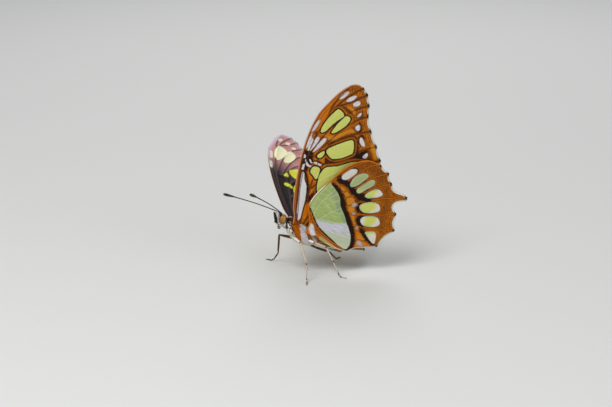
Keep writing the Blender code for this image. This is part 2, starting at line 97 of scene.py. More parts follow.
# Forewing outline: front edge, vein ends along the outer margin with the depth of each bay, inner edge.
FOREWING_FRONT = [(-0.4, -0.4), (0.5, 2.1), (2.5, 5.5), (5.5, 13.6), (7.6, 21.1), (8.8, 28.5), (8.8, 34.1),
                  (8.0, 37.8), (6.6, 42.4), (4.6, 45.9), (2.8, 47.0), (1.0, 46.8)]
FOREWING_ENDS = [(1.0, 46.8), (-1.2, 45.5), (-3.3, 42.7), (-4.6, 39.6), (-7.6, 35.8), (-11.4, 32.3),
                 (-14.6, 28.9), (-16.6, 25.0)]
FOREWING_SAGS = [0.15, 0.35, 0.2, 0.5, 0.45, 0.5, 0.3]
FOREWING_REAR = [(-16.6, 25.0), (-15.9, 23.0), (-10.5, 13.0), (-6.0, 5.5), (-4.4, 2.0), (-4.2, -0.4)]
FOREWING_VEINS = {
    "subcosta": [(-1.0, 0.8), (1.4, 5.5), (4.6, 13.6), (6.9, 21.1), (8.2, 27.0), (8.8, 34.1)],
    "radius": [(-1.3, 0.8), (0.7, 5.5), (3.5, 12.5), (5.6, 21.0), (6.3, 27.5), (5.9, 33.0), (6.2, 38.5),
               (4.6, 45.9)],
    "radius_4": [(5.9, 33.0), (5.2, 38.0), (3.9, 41.7), (1.0, 46.8)],
    "radius_5": [(5.2, 38.0), (2.3, 41.0), (0.4, 43.4), (-1.2, 45.5)],
    "media_1": [(5.6, 21.0), (4.7, 26.0), (3.6, 31.0), (1.4, 37.0), (-0.7, 40.2), (-3.3, 42.7)],
    "media_2": [(3.7, 21.4), (2.4, 26.5), (0.4, 32.0), (-1.8, 36.4), (-4.6, 39.6)],
    "media_3": [(2.1, 20.4), (2.0, 24.4), (-0.6, 29.6), (-3.9, 33.0), (-7.6, 35.8)],
    "cubitus": [(-2.2, 0.8), (-0.9, 5.5), (0.2, 11.5), (1.1, 17.2), (2.1, 20.4), (3.7, 21.4), (5.6, 21.0)],
    "cubitus_1": [(1.1, 17.2), (-0.4, 21.0), (-3.2, 23.8), (-7.0, 28.2), (-11.4, 32.3)],
    "cubitus_2": [(0.2, 11.5), (-2.4, 16.4), (-7.4, 22.6), (-14.6, 28.9)],
    "anal_2": [(-3.2, 0.8), (-4.0, 5.5), (-8.6, 14.0), (-13.4, 21.6), (-16.6, 25.0)],
}

# Hindwing outline, in the same stretches. Its outer margin has a tail and its rear runs along the abdomen.
HINDWING_FRONT = [(-4.7, -0.8), (-4.5, 2.2), (-3.1, 4.6), (-1.8, 7.0), (-1.7, 9.6), (-2.5, 13.2),
                  (-3.8, 16.7), (-5.7, 22.0), (-7.3, 24.6), (-9.1, 26.4), (-11.6, 27.8), (-15.0, 28.0)]
HINDWING_ENDS = [(-15.0, 28.0), (-18.5, 26.7), (-20.8, 24.2)]
HINDWING_SAGS = [0.5, 0.6]
TAIL_FRONT = [(-20.8, 24.2), (-21.8, 22.8), (-23.4, 22.3), (-25.4, 22.5), (-27.1, 22.3)]
TAIL_REAR = [(-27.1, 22.3), (-27.2, 21.3), (-25.3, 20.0), (-24.4, 18.4), (-25.1, 17.0), (-26.7, 16.2)]
HINDWING_LOWER_ENDS = [(-26.7, 16.2), (-28.8, 11.2), (-26.4, 4.3)]
HINDWING_LOWER_SAGS = [0.7, 0.8]
HINDWING_FOOT = [(-26.4, 4.3), (-23.4, 2.7), (-20.6, 1.2), (-18.8, -0.9)]
HINDWING_REAR = [(-18.8, -0.9), (-15.6, -1.3), (-12.0, -1.2), (-9.4, -0.9), (-7.9, -0.3), (-6.9, -0.8)]
HINDWING_VEINS = {
    "subcosta": [(-5.1, 1.2), (-3.6, 5.5), (-2.9, 10.5), (-4.6, 17.0), (-8.0, 24.0), (-11.6, 27.8)],
    "radius": [(-5.4, 1.2), (-4.4, 5.5), (-4.9, 10.5), (-6.8, 15.5), (-9.2, 20.5), (-12.2, 26.0),
               (-15.0, 28.0)],
    "media_1": [(-4.9, 10.5), (-8.6, 15.0), (-12.0, 18.5), (-14.8, 23.2), (-18.5, 26.7)],
    "media_2": [(-6.7, 9.6), (-10.2, 13.8), (-14.2, 17.4), (-17.6, 21.4), (-20.8, 24.2)],
    "media_3": [(-8.7, 8.2), (-12.2, 12.0), (-15.6, 15.2), (-19.8, 18.2), (-24.2, 20.8), (-27.1, 22.3)],
    "cubitus": [(-5.8, 1.2), (-6.8, 5.0), (-8.7, 8.2), (-6.7, 9.6), (-4.9, 10.5)],
    "cubitus_1": [(-8.7, 8.2), (-12.4, 9.4), (-17.0, 11.3), (-22.0, 13.6), (-26.7, 16.2)],
    "cubitus_2": [(-6.8, 5.0), (-10.2, 5.5), (-14.2, 6.5), (-19.2, 8.1), (-24.2, 9.5), (-28.8, 11.2)],
    "anal_2": [(-6.2, 1.2), (-9.0, 2.8), (-13.4, 2.6), (-18.4, 3.4), (-22.8, 4.4), (-26.4, 4.3)],
    "anal_3": [(-6.2, 1.2), (-9.4, 0.5), (-14.0, -0.2), (-18.8, -0.9)],
}

# Markings of the forewing's underside. Each kind is a list of outlines in the wing's flat drawing.
FOREWING_UNDER = {
    "green": [
        [(5.6, 29.0), (6.0, 31.2), (5.6, 34.1), (5.0, 36.1), (4.4, 37.6), (3.4, 37.6), (2.0, 36.9),
         (2.1, 35.8), (2.9, 34.3), (3.6, 32.5), (4.2, 30.5), (4.7, 29.4)],
        [(2.7, 30.1), (2.6, 31.7), (2.3, 33.6), (1.8, 35.3), (1.3, 36.7), (0.1, 36.9), (-0.3, 36.5),
         (-0.4, 35.6), (-0.1, 34.0), (0.7, 32.3), (1.6, 30.8)],
        [(1.2, 24.3), (1.1, 25.3), (0.0, 26.8), (-1.7, 28.8), (-3.5, 30.6), (-4.3, 30.8), (-5.0, 29.9),
         (-5.6, 28.7), (-6.0, 27.3), (-5.5, 26.4), (-3.8, 24.5), (-1.9, 23.2), (-0.9, 23.1), (0.4, 23.6)],
        [(3.1, 21.8), (2.7, 23.0), (2.0, 24.1), (1.6, 24.0), (1.4, 23.3), (1.5, 22.4), (1.8, 21.7),
         (2.6, 21.5)],
        [(2.5, 16.5), (2.6, 18.1), (1.9, 18.7), (0.5, 18.7), (0.0, 17.5), (-0.2, 15.2), (1.2, 15.8)],
        [(-0.5, 17.7), (-1.1, 19.8), (-4.0, 21.7), (-8.0, 25.2), (-11.6, 25.8), (-12.4, 22.8), (-8.9, 17.6),
         (-5.2, 12.6), (-2.9, 11.4), (-1.5, 13.2), (-0.6, 16.0)],
    ],
    "pale": [
        [(5.8, 40.5), (5.6, 42.3), (4.9, 43.5), (4.1, 44.0), (4.2, 42.5), (4.9, 41.1)],
        [(3.5, 40.9), (3.1, 42.3), (2.2, 43.4), (1.5, 43.7), (1.7, 42.3), (2.7, 41.1)],
        [(1.2, 40.8), (1.0, 41.7), (0.3, 42.5), (-0.4, 42.4), (-0.6, 41.8), (-0.2, 40.9), (0.5, 40.5)],
        [(-1.7, 38.0), (-1.8, 39.0), (-2.3, 39.7), (-2.4, 38.6)],
        [(-2.9, 34.7), (-3.0, 35.5), (-3.6, 36.0), (-4.2, 35.1), (-4.2, 34.3), (-3.5, 34.2)],
        [(-6.0, 31.6), (-5.8, 32.8), (-6.6, 32.5), (-7.6, 31.6), (-8.2, 30.8), (-7.6, 30.5), (-6.7, 30.9)],
        [(-9.3, 27.4), (-9.5, 28.6), (-10.0, 29.2), (-10.4, 28.4), (-10.2, 27.5)],
        [(7.2, 22.1), (7.6, 23.8), (7.7, 25.5), (7.8, 27.6), (7.3, 26.4), (6.9, 24.1)],
        [(6.4, 22.2), (6.7, 23.6), (6.9, 25.4), (6.8, 26.4), (6.5, 26.0), (6.1, 24.7), (5.9, 22.6)],
        [(5.6, 22.4), (5.7, 24.1), (5.9, 25.9), (5.8, 27.0), (5.2, 27.4), (4.9, 26.4), (5.0, 24.6)],
        [(8.1, 27.9), (8.2, 29.6), (8.0, 31.6), (7.5, 32.6), (7.4, 30.4), (7.6, 28.6)],
        [(4.7, 22.3), (4.6, 24.1), (4.3, 26.0), (3.9, 27.4), (3.3, 28.0), (3.0, 27.4), (3.2, 25.9),
         (3.8, 24.1)],
    ],
    "stripe": [
        [(4.6, 15.4), (3.9, 15.3), (3.0, 13.6), (1.6, 12.2), (0.4, 9.6), (-0.6, 6.4), (-1.6, 2.0),
         (-0.9, 1.4), (0.4, 4.0), (1.6, 7.2), (3.3, 11.4)],
        [(6.4, 19.5), (6.8, 20.5), (6.5, 20.8), (6.0, 20.3), (5.9, 19.6)],
        [(5.7, 19.3), (5.4, 19.4), (4.8, 18.8), (3.9, 18.3), (3.0, 18.4), (2.9, 18.0), (3.8, 17.7),
         (4.8, 18.1)],
        [(4.6, 19.9), (4.3, 20.0), (3.7, 19.5), (3.3, 19.3), (3.4, 19.0), (3.9, 19.2)],
        [(3.1, 19.6), (2.4, 20.0), (1.6, 20.0), (0.6, 20.0), (0.4, 19.7), (1.0, 19.4), (2.0, 19.4),
         (2.7, 19.3)],
        [(5.2, 16.1), (5.5, 17.6), (5.3, 18.1), (4.8, 17.4), (4.6, 16.4)],
    ],
    "dark": [
        [(4.6, 16.0), (3.8, 16.1), (2.2, 14.2), (0.6, 11.8), (-0.6, 9.1), (-1.0, 7.1), (-0.1, 8.9),
         (1.1, 11.5), (2.6, 14.0)],
        [(-0.3, 13.5), (-0.9, 13.8), (-1.8, 12.4), (-1.5, 9.0), (-1.2, 7.7), (-0.9, 9.2), (-1.4, 11.7)],
        [(-4.9, 29.8), (-5.3, 30.8), (-6.6, 29.2), (-8.1, 27.0), (-8.1, 25.6), (-7.0, 25.2), (-7.2, 26.4),
         (-6.3, 28.3)],
        [(-1.6, 18.5), (-3.0, 20.2), (-4.7, 21.9), (-6.6, 23.6), (-7.4, 25.2), (-8.1, 26.3), (-8.4, 25.1),
         (-7.4, 23.2), (-5.4, 21.2), (-3.4, 19.3), (-1.9, 18.2)],
        [(0.7, 22.5), (0.2, 22.6), (-0.8, 21.2), (-2.2, 20.7), (-1.7, 20.1), (-0.5, 20.6)],
        [(7.5, 21.4), (6.2, 22.0), (5.1, 22.4), (4.5, 22.0), (4.1, 20.9), (3.4, 19.9), (2.6, 20.3),
         (1.3, 20.4), (0.2, 20.2), (-0.1, 19.2), (0.8, 18.9), (2.6, 18.8), (2.8, 17.4), (3.6, 16.4),
         (4.9, 16.0), (6.0, 17.7), (6.8, 19.7)],
        [(1.8, 24.9), (1.3, 25.0), (0.9, 23.8), (0.2, 23.2), (-1.0, 22.8), (-2.2, 22.9), (-4.3, 24.3),
         (-6.2, 26.6), (-7.8, 28.1), (-9.6, 29.1), (-10.3, 27.8), (-8.6, 26.0), (-6.0, 24.0), (-3.4, 22.0),
         (-1.8, 21.3), (-0.4, 21.8), (0.9, 22.9)],
        [(1.7, 25.8), (1.4, 27.1), (0.0, 28.8), (-1.4, 30.2), (-2.9, 31.5), (-4.5, 32.0), (-5.0, 31.6),
         (-3.1, 30.9), (-1.5, 29.2), (0.1, 27.1)],
        [(-4.5, 31.2), (-5.4, 31.2), (-6.5, 29.7), (-7.3, 28.3), (-7.5, 26.8), (-6.6, 26.4), (-6.0, 27.2),
         (-5.6, 28.7), (-5.0, 30.0)],
        [(-2.8, 34.2), (-4.4, 33.9), (-4.8, 34.8), (-4.2, 36.0), (-3.3, 36.6), (-4.0, 35.9), (-4.4, 34.9),
         (-4.2, 34.2), (-3.2, 34.3)],
        [(-5.9, 31.1), (-5.4, 32.8), (-5.8, 33.5), (-7.0, 33.0), (-6.0, 33.0), (-6.1, 32.0), (-6.9, 30.6)],
        [(-8.0, 28.2), (-9.0, 27.2), (-9.2, 28.4), (-9.8, 29.6), (-9.4, 29.8), (-8.6, 29.0)],
    ],
    "shade": [
        [(0.0, 25.9), (-1.2, 28.1), (-2.2, 29.7), (-3.3, 30.9), (-4.1, 30.9), (-4.4, 30.1), (-2.8, 28.7),
         (-1.5, 27.3)],
        [(5.3, 37.6), (4.5, 38.6), (2.6, 39.2), (0.9, 38.8), (-0.5, 37.9), (-1.5, 36.5), (-0.7, 36.8),
         (0.4, 37.7), (1.5, 38.0), (2.6, 37.8), (4.2, 38.0)],
        [(7.2, 28.3), (6.3, 29.0), (5.7, 28.6), (5.9, 27.9), (6.7, 27.6)],
        [(2.1, 29.8), (1.4, 30.6), (0.6, 32.0), (-0.3, 33.9), (-0.8, 35.4), (-0.9, 34.2), (-0.2, 32.0),
         (1.0, 30.0)],
        [(-2.2, 40.6), (-3.0, 39.2), (-3.6, 38.6), (-3.2, 37.8), (-2.6, 38.4), (-2.3, 39.6)],
        [(-9.4, 30.2), (-10.6, 29.8), (-11.6, 28.8), (-12.4, 27.6), (-11.6, 27.2), (-10.6, 27.6),
         (-10.5, 28.8)],
    ],
    "orange": [
        [(7.6, 21.6), (7.2, 20.2), (5.6, 14.8), (3.4, 8.6), (0.6, 1.8), (-0.6, 0.4), (-0.2, 2.8),
         (1.7, 7.1), (3.9, 12.6), (5.4, 16.3), (6.6, 19.6)],
        [(3.9, 16.4), (3.1, 14.9), (1.7, 13.0), (0.2, 10.6), (-0.9, 7.4), (-2.0, 3.0), (-3.2, 2.6),
         (-2.6, 7.4), (-1.6, 11.4), (0.1, 14.3), (2.5, 16.0)],
        [(1.5, 24.2), (1.2, 21.6), (0.5, 20.3), (0.1, 19.0), (-0.9, 20.0), (-3.3, 22.3), (-3.0, 22.9),
         (-0.8, 22.7), (0.7, 23.3)],
        [(4.4, 21.2), (3.7, 21.6), (2.9, 21.4), (2.5, 20.8), (3.2, 20.2), (3.9, 20.5)],
        [(8.4, 30.0), (8.2, 34.0), (7.2, 38.0), (5.9, 41.0), (5.6, 39.0), (6.6, 35.0), (7.0, 31.0),
         (7.5, 29.0)],
    ],
    "tan": [
        [(4.4, 28.6), (3.0, 29.0), (1.4, 29.6), (0.0, 31.4), (-1.8, 33.5), (-3.0, 34.0), (-3.6, 33.5),
         (-1.8, 32.2), (-0.4, 30.4), (0.8, 28.7), (2.2, 27.9), (3.4, 28.4)],
        [(2.0, 39.8), (0.4, 39.7), (-0.7, 39.0), (-0.3, 38.4), (0.8, 39.0), (2.2, 39.2)],
        [(-9.8, 33.0), (-11.2, 31.6), (-12.6, 30.0), (-13.4, 28.4), (-12.6, 28.6), (-11.4, 30.0),
         (-9.8, 31.4)],
    ],
}

# Markings of the hindwing's underside. The field is the large green area beside the abdomen.
HINDWING_UNDER = {
    "green": [
        [(-6.4, 19.4), (-6.3, 20.2), (-6.7, 21.6), (-7.5, 22.7), (-8.4, 23.4), (-9.4, 23.6), (-9.8, 23.0),
         (-9.5, 21.8), (-8.7, 20.1), (-7.8, 19.2), (-7.0, 19.0)],
        [(-9.8, 18.4), (-9.6, 19.4), (-9.8, 21.0), (-10.6, 22.5), (-11.8, 23.5), (-13.0, 23.7),
         (-13.5, 23.1), (-13.3, 22.2), (-12.6, 20.6), (-11.8, 19.1), (-10.9, 18.2), (-10.3, 18.0)],
        [(-12.5, 17.4), (-12.3, 18.2), (-12.7, 19.9), (-13.6, 21.4), (-14.7, 22.6), (-15.7, 22.9),
         (-16.2, 22.3), (-16.2, 21.4), (-15.6, 20.2), (-14.7, 18.9), (-13.9, 17.6), (-13.2, 17.1)],
        [(-15.5, 17.1), (-15.4, 17.8), (-15.9, 18.9), (-16.8, 20.1), (-17.7, 20.8), (-18.7, 20.8),
         (-19.9, 20.2), (-20.0, 19.6), (-19.2, 18.6), (-17.9, 17.7), (-16.6, 17.0)],
        [(-15.6, 13.5), (-15.6, 14.2), (-16.4, 15.2), (-18.0, 16.3), (-19.4, 16.7), (-20.7, 16.5),
         (-21.5, 15.7), (-21.6, 14.8), (-20.8, 14.0), (-19.4, 13.0), (-17.6, 12.4), (-16.4, 12.7)],
        [(-17.9, 9.8), (-17.9, 10.7), (-18.9, 11.7), (-20.5, 12.6), (-22.1, 12.7), (-23.3, 12.0),
         (-23.7, 11.0), (-23.1, 10.1), (-21.4, 9.1), (-19.7, 8.7), (-18.5, 9.1)],
        [(-20.9, 7.0), (-21.8, 7.7), (-23.5, 8.4), (-24.4, 7.7), (-24.9, 6.5), (-25.3, 5.0), (-24.8, 4.8),
         (-23.4, 5.4), (-21.9, 6.3)],
    ],
    "haze": [
        [(-7.7, 23.6), (-9.4, 26.4), (-12.6, 27.6), (-17.4, 26.4), (-19.4, 24.1), (-17.4, 22.4),
         (-15.4, 23.8), (-12.9, 24.6), (-10.3, 24.2)],
        [(-18.6, 22.2), (-20.2, 22.4), (-21.6, 20.8), (-22.8, 17.6), (-23.4, 14.6), (-24.6, 11.8),
         (-25.4, 9.4), (-24.4, 10.6), (-22.6, 13.6), (-22.2, 16.2), (-21.2, 18.6), (-20.4, 20.6)],
    ],
    "lilac": [
        [(-6.2, 19.0), (-6.0, 20.4), (-7.4, 23.2), (-9.8, 24.0), (-10.2, 22.6), (-8.6, 18.8)],
        [(-18.6, 21.2), (-20.6, 20.4), (-20.4, 19.2), (-18.7, 18.0), (-17.9, 18.6), (-18.3, 19.8)],
        [(-19.5, 17.0), (-21.2, 17.0), (-22.2, 15.4), (-21.4, 13.8), (-19.8, 12.8), (-19.4, 13.4),
         (-20.3, 15.2)],
        [(-22.0, 13.2), (-23.8, 12.6), (-24.4, 11.0), (-23.4, 9.6), (-22.0, 9.0), (-21.7, 9.8),
         (-22.3, 11.4)],
        [(-17.6, 9.4), (-17.6, 10.9), (-18.6, 11.7), (-18.9, 10.4), (-19.4, 9.0), (-18.4, 8.8)],
        [(-22.2, 6.4), (-23.4, 7.4), (-24.6, 7.6), (-25.8, 5.2), (-25.0, 4.4), (-23.2, 5.0)],
        [(-5.4, 4.0), (-6.2, 4.4), (-9.2, 5.0), (-11.7, 5.7), (-14.9, 7.0), (-16.8, 5.6), (-18.8, 3.5),
         (-14.7, 1.9), (-11.5, 0.9), (-8.4, 1.6)],
    ],
    "field": [
        [(-1.2, 8.0), (-0.9, 10.1), (-1.5, 13.4), (-2.4, 15.4), (-3.6, 16.8), (-4.9, 16.1), (-6.4, 15.3),
         (-8.0, 14.3), (-9.2, 13.1), (-10.3, 11.3), (-11.9, 9.9), (-13.3, 8.6), (-14.6, 7.2), (-15.9, 6.0),
         (-17.4, 4.4), (-18.3, 2.7), (-18.7, 1.1), (-18.3, -0.2), (-17.4, -0.4), (-15.4, -0.1),
         (-13.1, 0.7), (-10.3, 1.6), (-7.4, 2.8), (-4.6, 5.1), (-2.9, 6.6)],
    ],
    "smudge": [
        [(-5.6, 14.7), (-6.7, 14.9), (-8.2, 13.5), (-9.1, 12.2), (-8.5, 11.9), (-7.1, 13.0)],
        [(-8.8, 11.5), (-9.5, 11.8), (-10.6, 10.6), (-11.3, 9.4), (-10.6, 9.1), (-9.6, 10.1)],
        [(-12.0, 9.6), (-13.4, 8.2), (-15.2, 6.4), (-14.6, 6.4), (-12.8, 7.8), (-11.6, 9.0)],
    ],
    "pale": [
        [(-4.3, 1.5), (-4.8, 2.5), (-5.9, 2.3), (-7.0, 0.9), (-8.9, -1.7), (-7.8, -2.1), (-6.0, -0.2)],
        [(-13.2, 13.2), (-13.9, 14.1), (-14.8, 13.7), (-14.3, 13.0), (-13.8, 12.6)],
        [(-14.6, 10.9), (-15.1, 11.3), (-15.6, 11.0), (-15.3, 10.5), (-14.8, 10.4)],
        [(-17.6, 7.7), (-18.2, 7.6), (-18.7, 6.8), (-18.1, 6.8)],
        [(-20.1, 3.3), (-20.5, 3.9), (-21.5, 3.7), (-22.4, 2.9), (-21.1, 2.4), (-20.4, 2.6)],
        [(-24.4, 3.6), (-26.0, 4.3), (-26.4, 3.9), (-24.4, 2.9), (-22.8, 2.2), (-22.4, 2.6)],
    ],
    "dark": [
        [(-4.4, 16.6), (-5.8, 16.6), (-7.4, 16.0), (-9.3, 14.6), (-10.9, 13.0), (-12.2, 11.3),
         (-13.9, 10.0), (-15.5, 8.3), (-17.2, 6.7), (-18.4, 4.9), (-19.4, 3.3), (-19.8, 1.5), (-19.2, 0.2),
         (-18.2, -1.0), (-17.6, -0.6), (-18.0, 2.5), (-17.1, 4.2), (-15.6, 5.8), (-14.3, 7.0), (-13.0, 8.4),
         (-11.6, 9.7), (-10.0, 11.1), (-8.9, 12.9), (-7.8, 14.0), (-6.2, 15.0), (-4.9, 15.8)],
        [(-5.6, 18.8), (-6.0, 19.4), (-6.4, 20.4), (-5.9, 20.0), (-5.3, 18.9), (-5.8, 17.9), (-6.9, 17.6),
         (-8.0, 17.7), (-9.5, 17.4), (-10.2, 17.0), (-11.1, 16.3), (-12.7, 15.9), (-14.0, 15.4),
         (-15.6, 15.5), (-16.8, 15.9), (-18.0, 16.7), (-16.8, 17.0), (-15.6, 16.9), (-15.2, 17.7),
         (-14.6, 17.8), (-13.9, 17.2), (-12.8, 17.0), (-12.2, 17.6), (-11.7, 18.0), (-10.8, 17.9),
         (-9.9, 18.1), (-9.3, 18.9), (-8.4, 19.2), (-7.4, 18.9), (-6.6, 19.0)],
        [(-15.6, 15.0), (-15.3, 14.2), (-15.4, 13.4), (-16.2, 12.5), (-17.5, 12.2), (-16.6, 11.9),
         (-15.4, 12.1), (-14.7, 12.9), (-14.7, 14.0), (-15.1, 14.7)],
        [(-17.9, 11.5), (-17.5, 10.6), (-17.6, 9.6), (-18.4, 8.8), (-19.7, 8.3), (-18.6, 8.1), (-17.4, 8.5),
         (-16.7, 9.4), (-16.8, 10.5), (-17.2, 11.2)],
        [(-19.0, 7.7), (-20.8, 7.2), (-21.9, 6.3), (-23.4, 5.4), (-25.2, 4.8), (-24.8, 4.2), (-22.8, 4.8),
         (-21.1, 5.7), (-19.6, 6.6)],
    ],
    "orange": [
        [(-2.0, 8.2), (-2.9, 6.6), (-4.6, 5.1), (-7.4, 2.8), (-10.3, 1.6), (-13.1, 0.7), (-15.4, -0.1),
         (-17.6, -0.6), (-18.6, -1.6), (-15.4, -1.4), (-12.5, -0.6), (-9.5, 0.3), (-6.6, 1.4), (-4.4, 3.0),
         (-2.6, 5.0)],
        [(-1.7, 9.6), (-2.3, 13.6), (-3.7, 17.0), (-5.6, 22.2), (-7.2, 24.8), (-9.0, 26.6), (-7.4, 24.4),
         (-6.0, 22.0), (-4.6, 18.6), (-3.4, 15.4)],
        [(-3.4, 3.4), (-4.6, 3.0), (-5.2, 1.4), (-7.2, -0.8), (-6.6, -1.4), (-4.4, -0.8)],
        [(-7.4, 1.8), (-9.6, 0.5), (-10.8, -0.6), (-10.2, -1.3), (-9.2, -0.6)],
        [(-20.2, 1.6), (-19.9, 3.6), (-18.6, 5.6), (-19.8, 6.6), (-22.0, 5.2), (-24.6, 4.2), (-26.6, 4.2),
         (-23.6, 2.4)],
    ],
    "tan": [
        [(-5.6, 17.3), (-7.4, 17.0), (-9.6, 16.4), (-11.6, 15.2), (-13.0, 14.9), (-14.2, 13.2),
         (-14.8, 11.6), (-15.6, 10.0), (-16.7, 8.6), (-18.2, 7.4), (-18.0, 6.6), (-16.4, 8.0), (-14.6, 9.9),
         (-12.8, 11.6), (-11.6, 13.0), (-9.8, 14.9), (-7.8, 16.2)],
        [(-20.6, 1.9), (-20.4, 3.6), (-19.4, 5.2), (-20.2, 5.8), (-22.4, 4.8), (-22.6, 3.0)],
    ],
    "shade": [
        [(-4.2, 4.1), (-6.4, 2.4), (-9.4, 1.1), (-12.6, 0.1), (-15.6, -0.8), (-12.6, -0.1), (-9.4, 0.8),
         (-6.4, 2.1)],
        [(-7.6, 16.6), (-9.8, 15.4), (-11.6, 14.0), (-12.4, 12.2), (-11.8, 11.6), (-10.4, 13.6),
         (-8.6, 15.2)],
        [(-13.2, 14.8), (-14.4, 15.2), (-15.4, 14.8), (-14.8, 13.8), (-13.8, 14.2)],
    ],
    "buff": [
        [(-9.6, 0.4), (-12.4, -0.5), (-15.4, -1.2), (-15.8, -1.8), (-12.0, -2.2), (-9.6, -1.4)],
    ],
}

# Markings of the upper sides. The far forewing shows part of them, and the rest follows the species.
FOREWING_UPPER = {
    "glow": [
        [(6.7, 31.0), (6.3, 35.6), (4.7, 38.3), (2.2, 36.9), (3.0, 33.6), (4.2, 30.9), (5.6, 29.2)],
        [(3.4, 30.6), (1.9, 36.7), (0.7, 37.9), (-0.5, 37.2), (-0.7, 35.3), (0.6, 31.9), (2.4, 29.9)],
        [(1.3, 25.4), (0.5, 27.2), (-3.5, 30.7), (-4.6, 30.6), (-5.7, 28.5), (-5.8, 26.6), (-2.4, 23.4),
         (-0.3, 23.5)],
        [(3.1, 22.0), (2.5, 23.7), (1.7, 24.0), (1.5, 22.2)],
        [(2.6, 17.2), (2.4, 18.6), (0.9, 18.6), (-0.1, 18.2), (-0.1, 17.0), (1.2, 17.0)],
        [(-0.6, 16.6), (-1.1, 19.6), (-4.0, 21.7), (-8.0, 25.0), (-12.2, 24.8), (-12.9, 22.0), (-9.2, 16.8),
         (-5.4, 11.8), (-3.0, 11.0), (-1.5, 13.2)],
    ],
    "pale": [
        [(5.8, 41.2), (5.0, 43.2), (4.0, 43.3), (4.7, 41.4)],
        [(3.1, 41.2), (2.2, 43.0), (1.2, 42.8), (1.9, 41.1)],
        [(0.9, 40.2), (-0.1, 41.8), (-0.9, 41.2), (-0.3, 40.0)],
        [(-2.3, 37.4), (-2.8, 39.0), (-3.6, 38.4), (-3.1, 37.2)],
        [(-4.6, 34.0), (-5.2, 35.4), (-6.1, 34.6), (-5.5, 33.7)],
        [(-8.4, 30.6), (-8.8, 31.8), (-9.8, 30.9), (-9.2, 30.2)],
        [(8.3, 29.0), (8.3, 32.8), (7.4, 33.2), (7.3, 29.2)],
        [(7.9, 23.6), (8.2, 26.8), (7.3, 27.0), (7.1, 23.4)],
    ],
}
HINDWING_UPPER = {
    "fold": [
        [(-4.6, -1.4), (-5.8, 2.6), (-10.0, 2.0), (-16.0, 0.9), (-19.6, 2.2), (-22.4, 3.6), (-27.6, 6.6),
         (-27.4, 3.0), (-22.4, 0.6), (-18.8, -1.6)],
    ],
    "glow": [
        [(-4.4, 15.6), (-4.2, 11.6), (-6.0, 8.4), (-8.6, 6.4), (-12.4, 3.4), (-17.6, 1.6), (-19.2, 3.2),
         (-17.4, 6.4), (-14.6, 9.4), (-12.0, 12.2), (-9.6, 15.2), (-7.2, 17.8), (-5.6, 18.2)],
        [(-8.2, 20.4), (-9.0, 22.8), (-10.4, 23.0), (-9.6, 20.6)],
        [(-11.6, 19.6), (-12.0, 22.6), (-13.6, 22.6), (-12.8, 19.8)],
        [(-14.6, 18.6), (-15.4, 21.6), (-17.0, 21.2), (-16.0, 18.4)],
        [(-17.2, 17.4), (-18.8, 19.8), (-20.4, 19.2), (-18.8, 17.0)],
        [(-18.0, 13.6), (-19.8, 16.0), (-21.6, 15.4), (-20.6, 13.6)],
        [(-19.8, 10.2), (-21.8, 12.2), (-23.6, 11.4), (-22.4, 9.8)],
        [(-21.6, 6.8), (-23.6, 8.0), (-25.0, 7.2), (-23.6, 5.8)],
    ],
    "pale": [
        [(-13.8, 26.2), (-14.4, 26.9), (-15.2, 26.6), (-14.6, 25.9)],
        [(-17.4, 24.9), (-18.0, 25.5), (-18.8, 25.0), (-18.2, 24.4)],
        [(-24.6, 14.0), (-25.2, 14.7), (-25.6, 13.8), (-25.0, 13.2)],
    ],
}
UNDER_FIELDS = ("green", "field", "pale", "stripe", "dark", "orange", "tan", "shade", "haze", "lilac",
                "smudge", "buff")
FAR_AWAY = 9.0

# The body's sizes as (forward, left, up) centres and half sizes, and the depth that the hair adds.
COAT_DEPTH = 0.2
THORAX = ((-4.2, 0.0, -1.6), (5.2, 2.9, 3.0))
THORAX_TILT = math.radians(10.0)
COLLAR = ((0.7, 0.0, -0.8), (2.1, 1.7, 1.7))
HEAD = ((2.8, 0.0, -0.45), (1.3, 1.6, 1.6))
EYE = ((2.85, 1.45, -0.38), (1.0, 0.85, 1.4))
ABDOMEN_AT = (-13.2, 0.0, -0.9)
ABDOMEN_LENGTH = 15.0
ABDOMEN_RADIUS = 2.05
ABDOMEN_TILT = math.radians(11.0)
ABDOMEN_SEGMENTS = 7
SEGMENT_GROOVE = 0.13
BODY_REACH = (-21.5, 5.5)
ABDOMEN_FROM = -9.8
HEAD_FROM = 1.3
FACE_FROM = 3.1

# Bands across the thorax's side, as (front edge, slope, name).
# A band starts where forward - slope x up falls below its front edge.
THORAX_BANDS = [
    (3.4, 1.1, "dark"), (3.0, 1.15, "white"), (2.1, 1.2, "dark"), (1.75, 1.15, "white"), (1.3, 1.1, "dark"),
    (0.75, 1.0, "orange"), (-1.8, 0.72, "white"), (-4.0, 0.81, "dark"), (-4.4, 0.75, "orange"),
    (-5.6, 0.8, "white"), (-7.7, 0.67, "orange"), (-9.2, 0.67, "cream"),
]

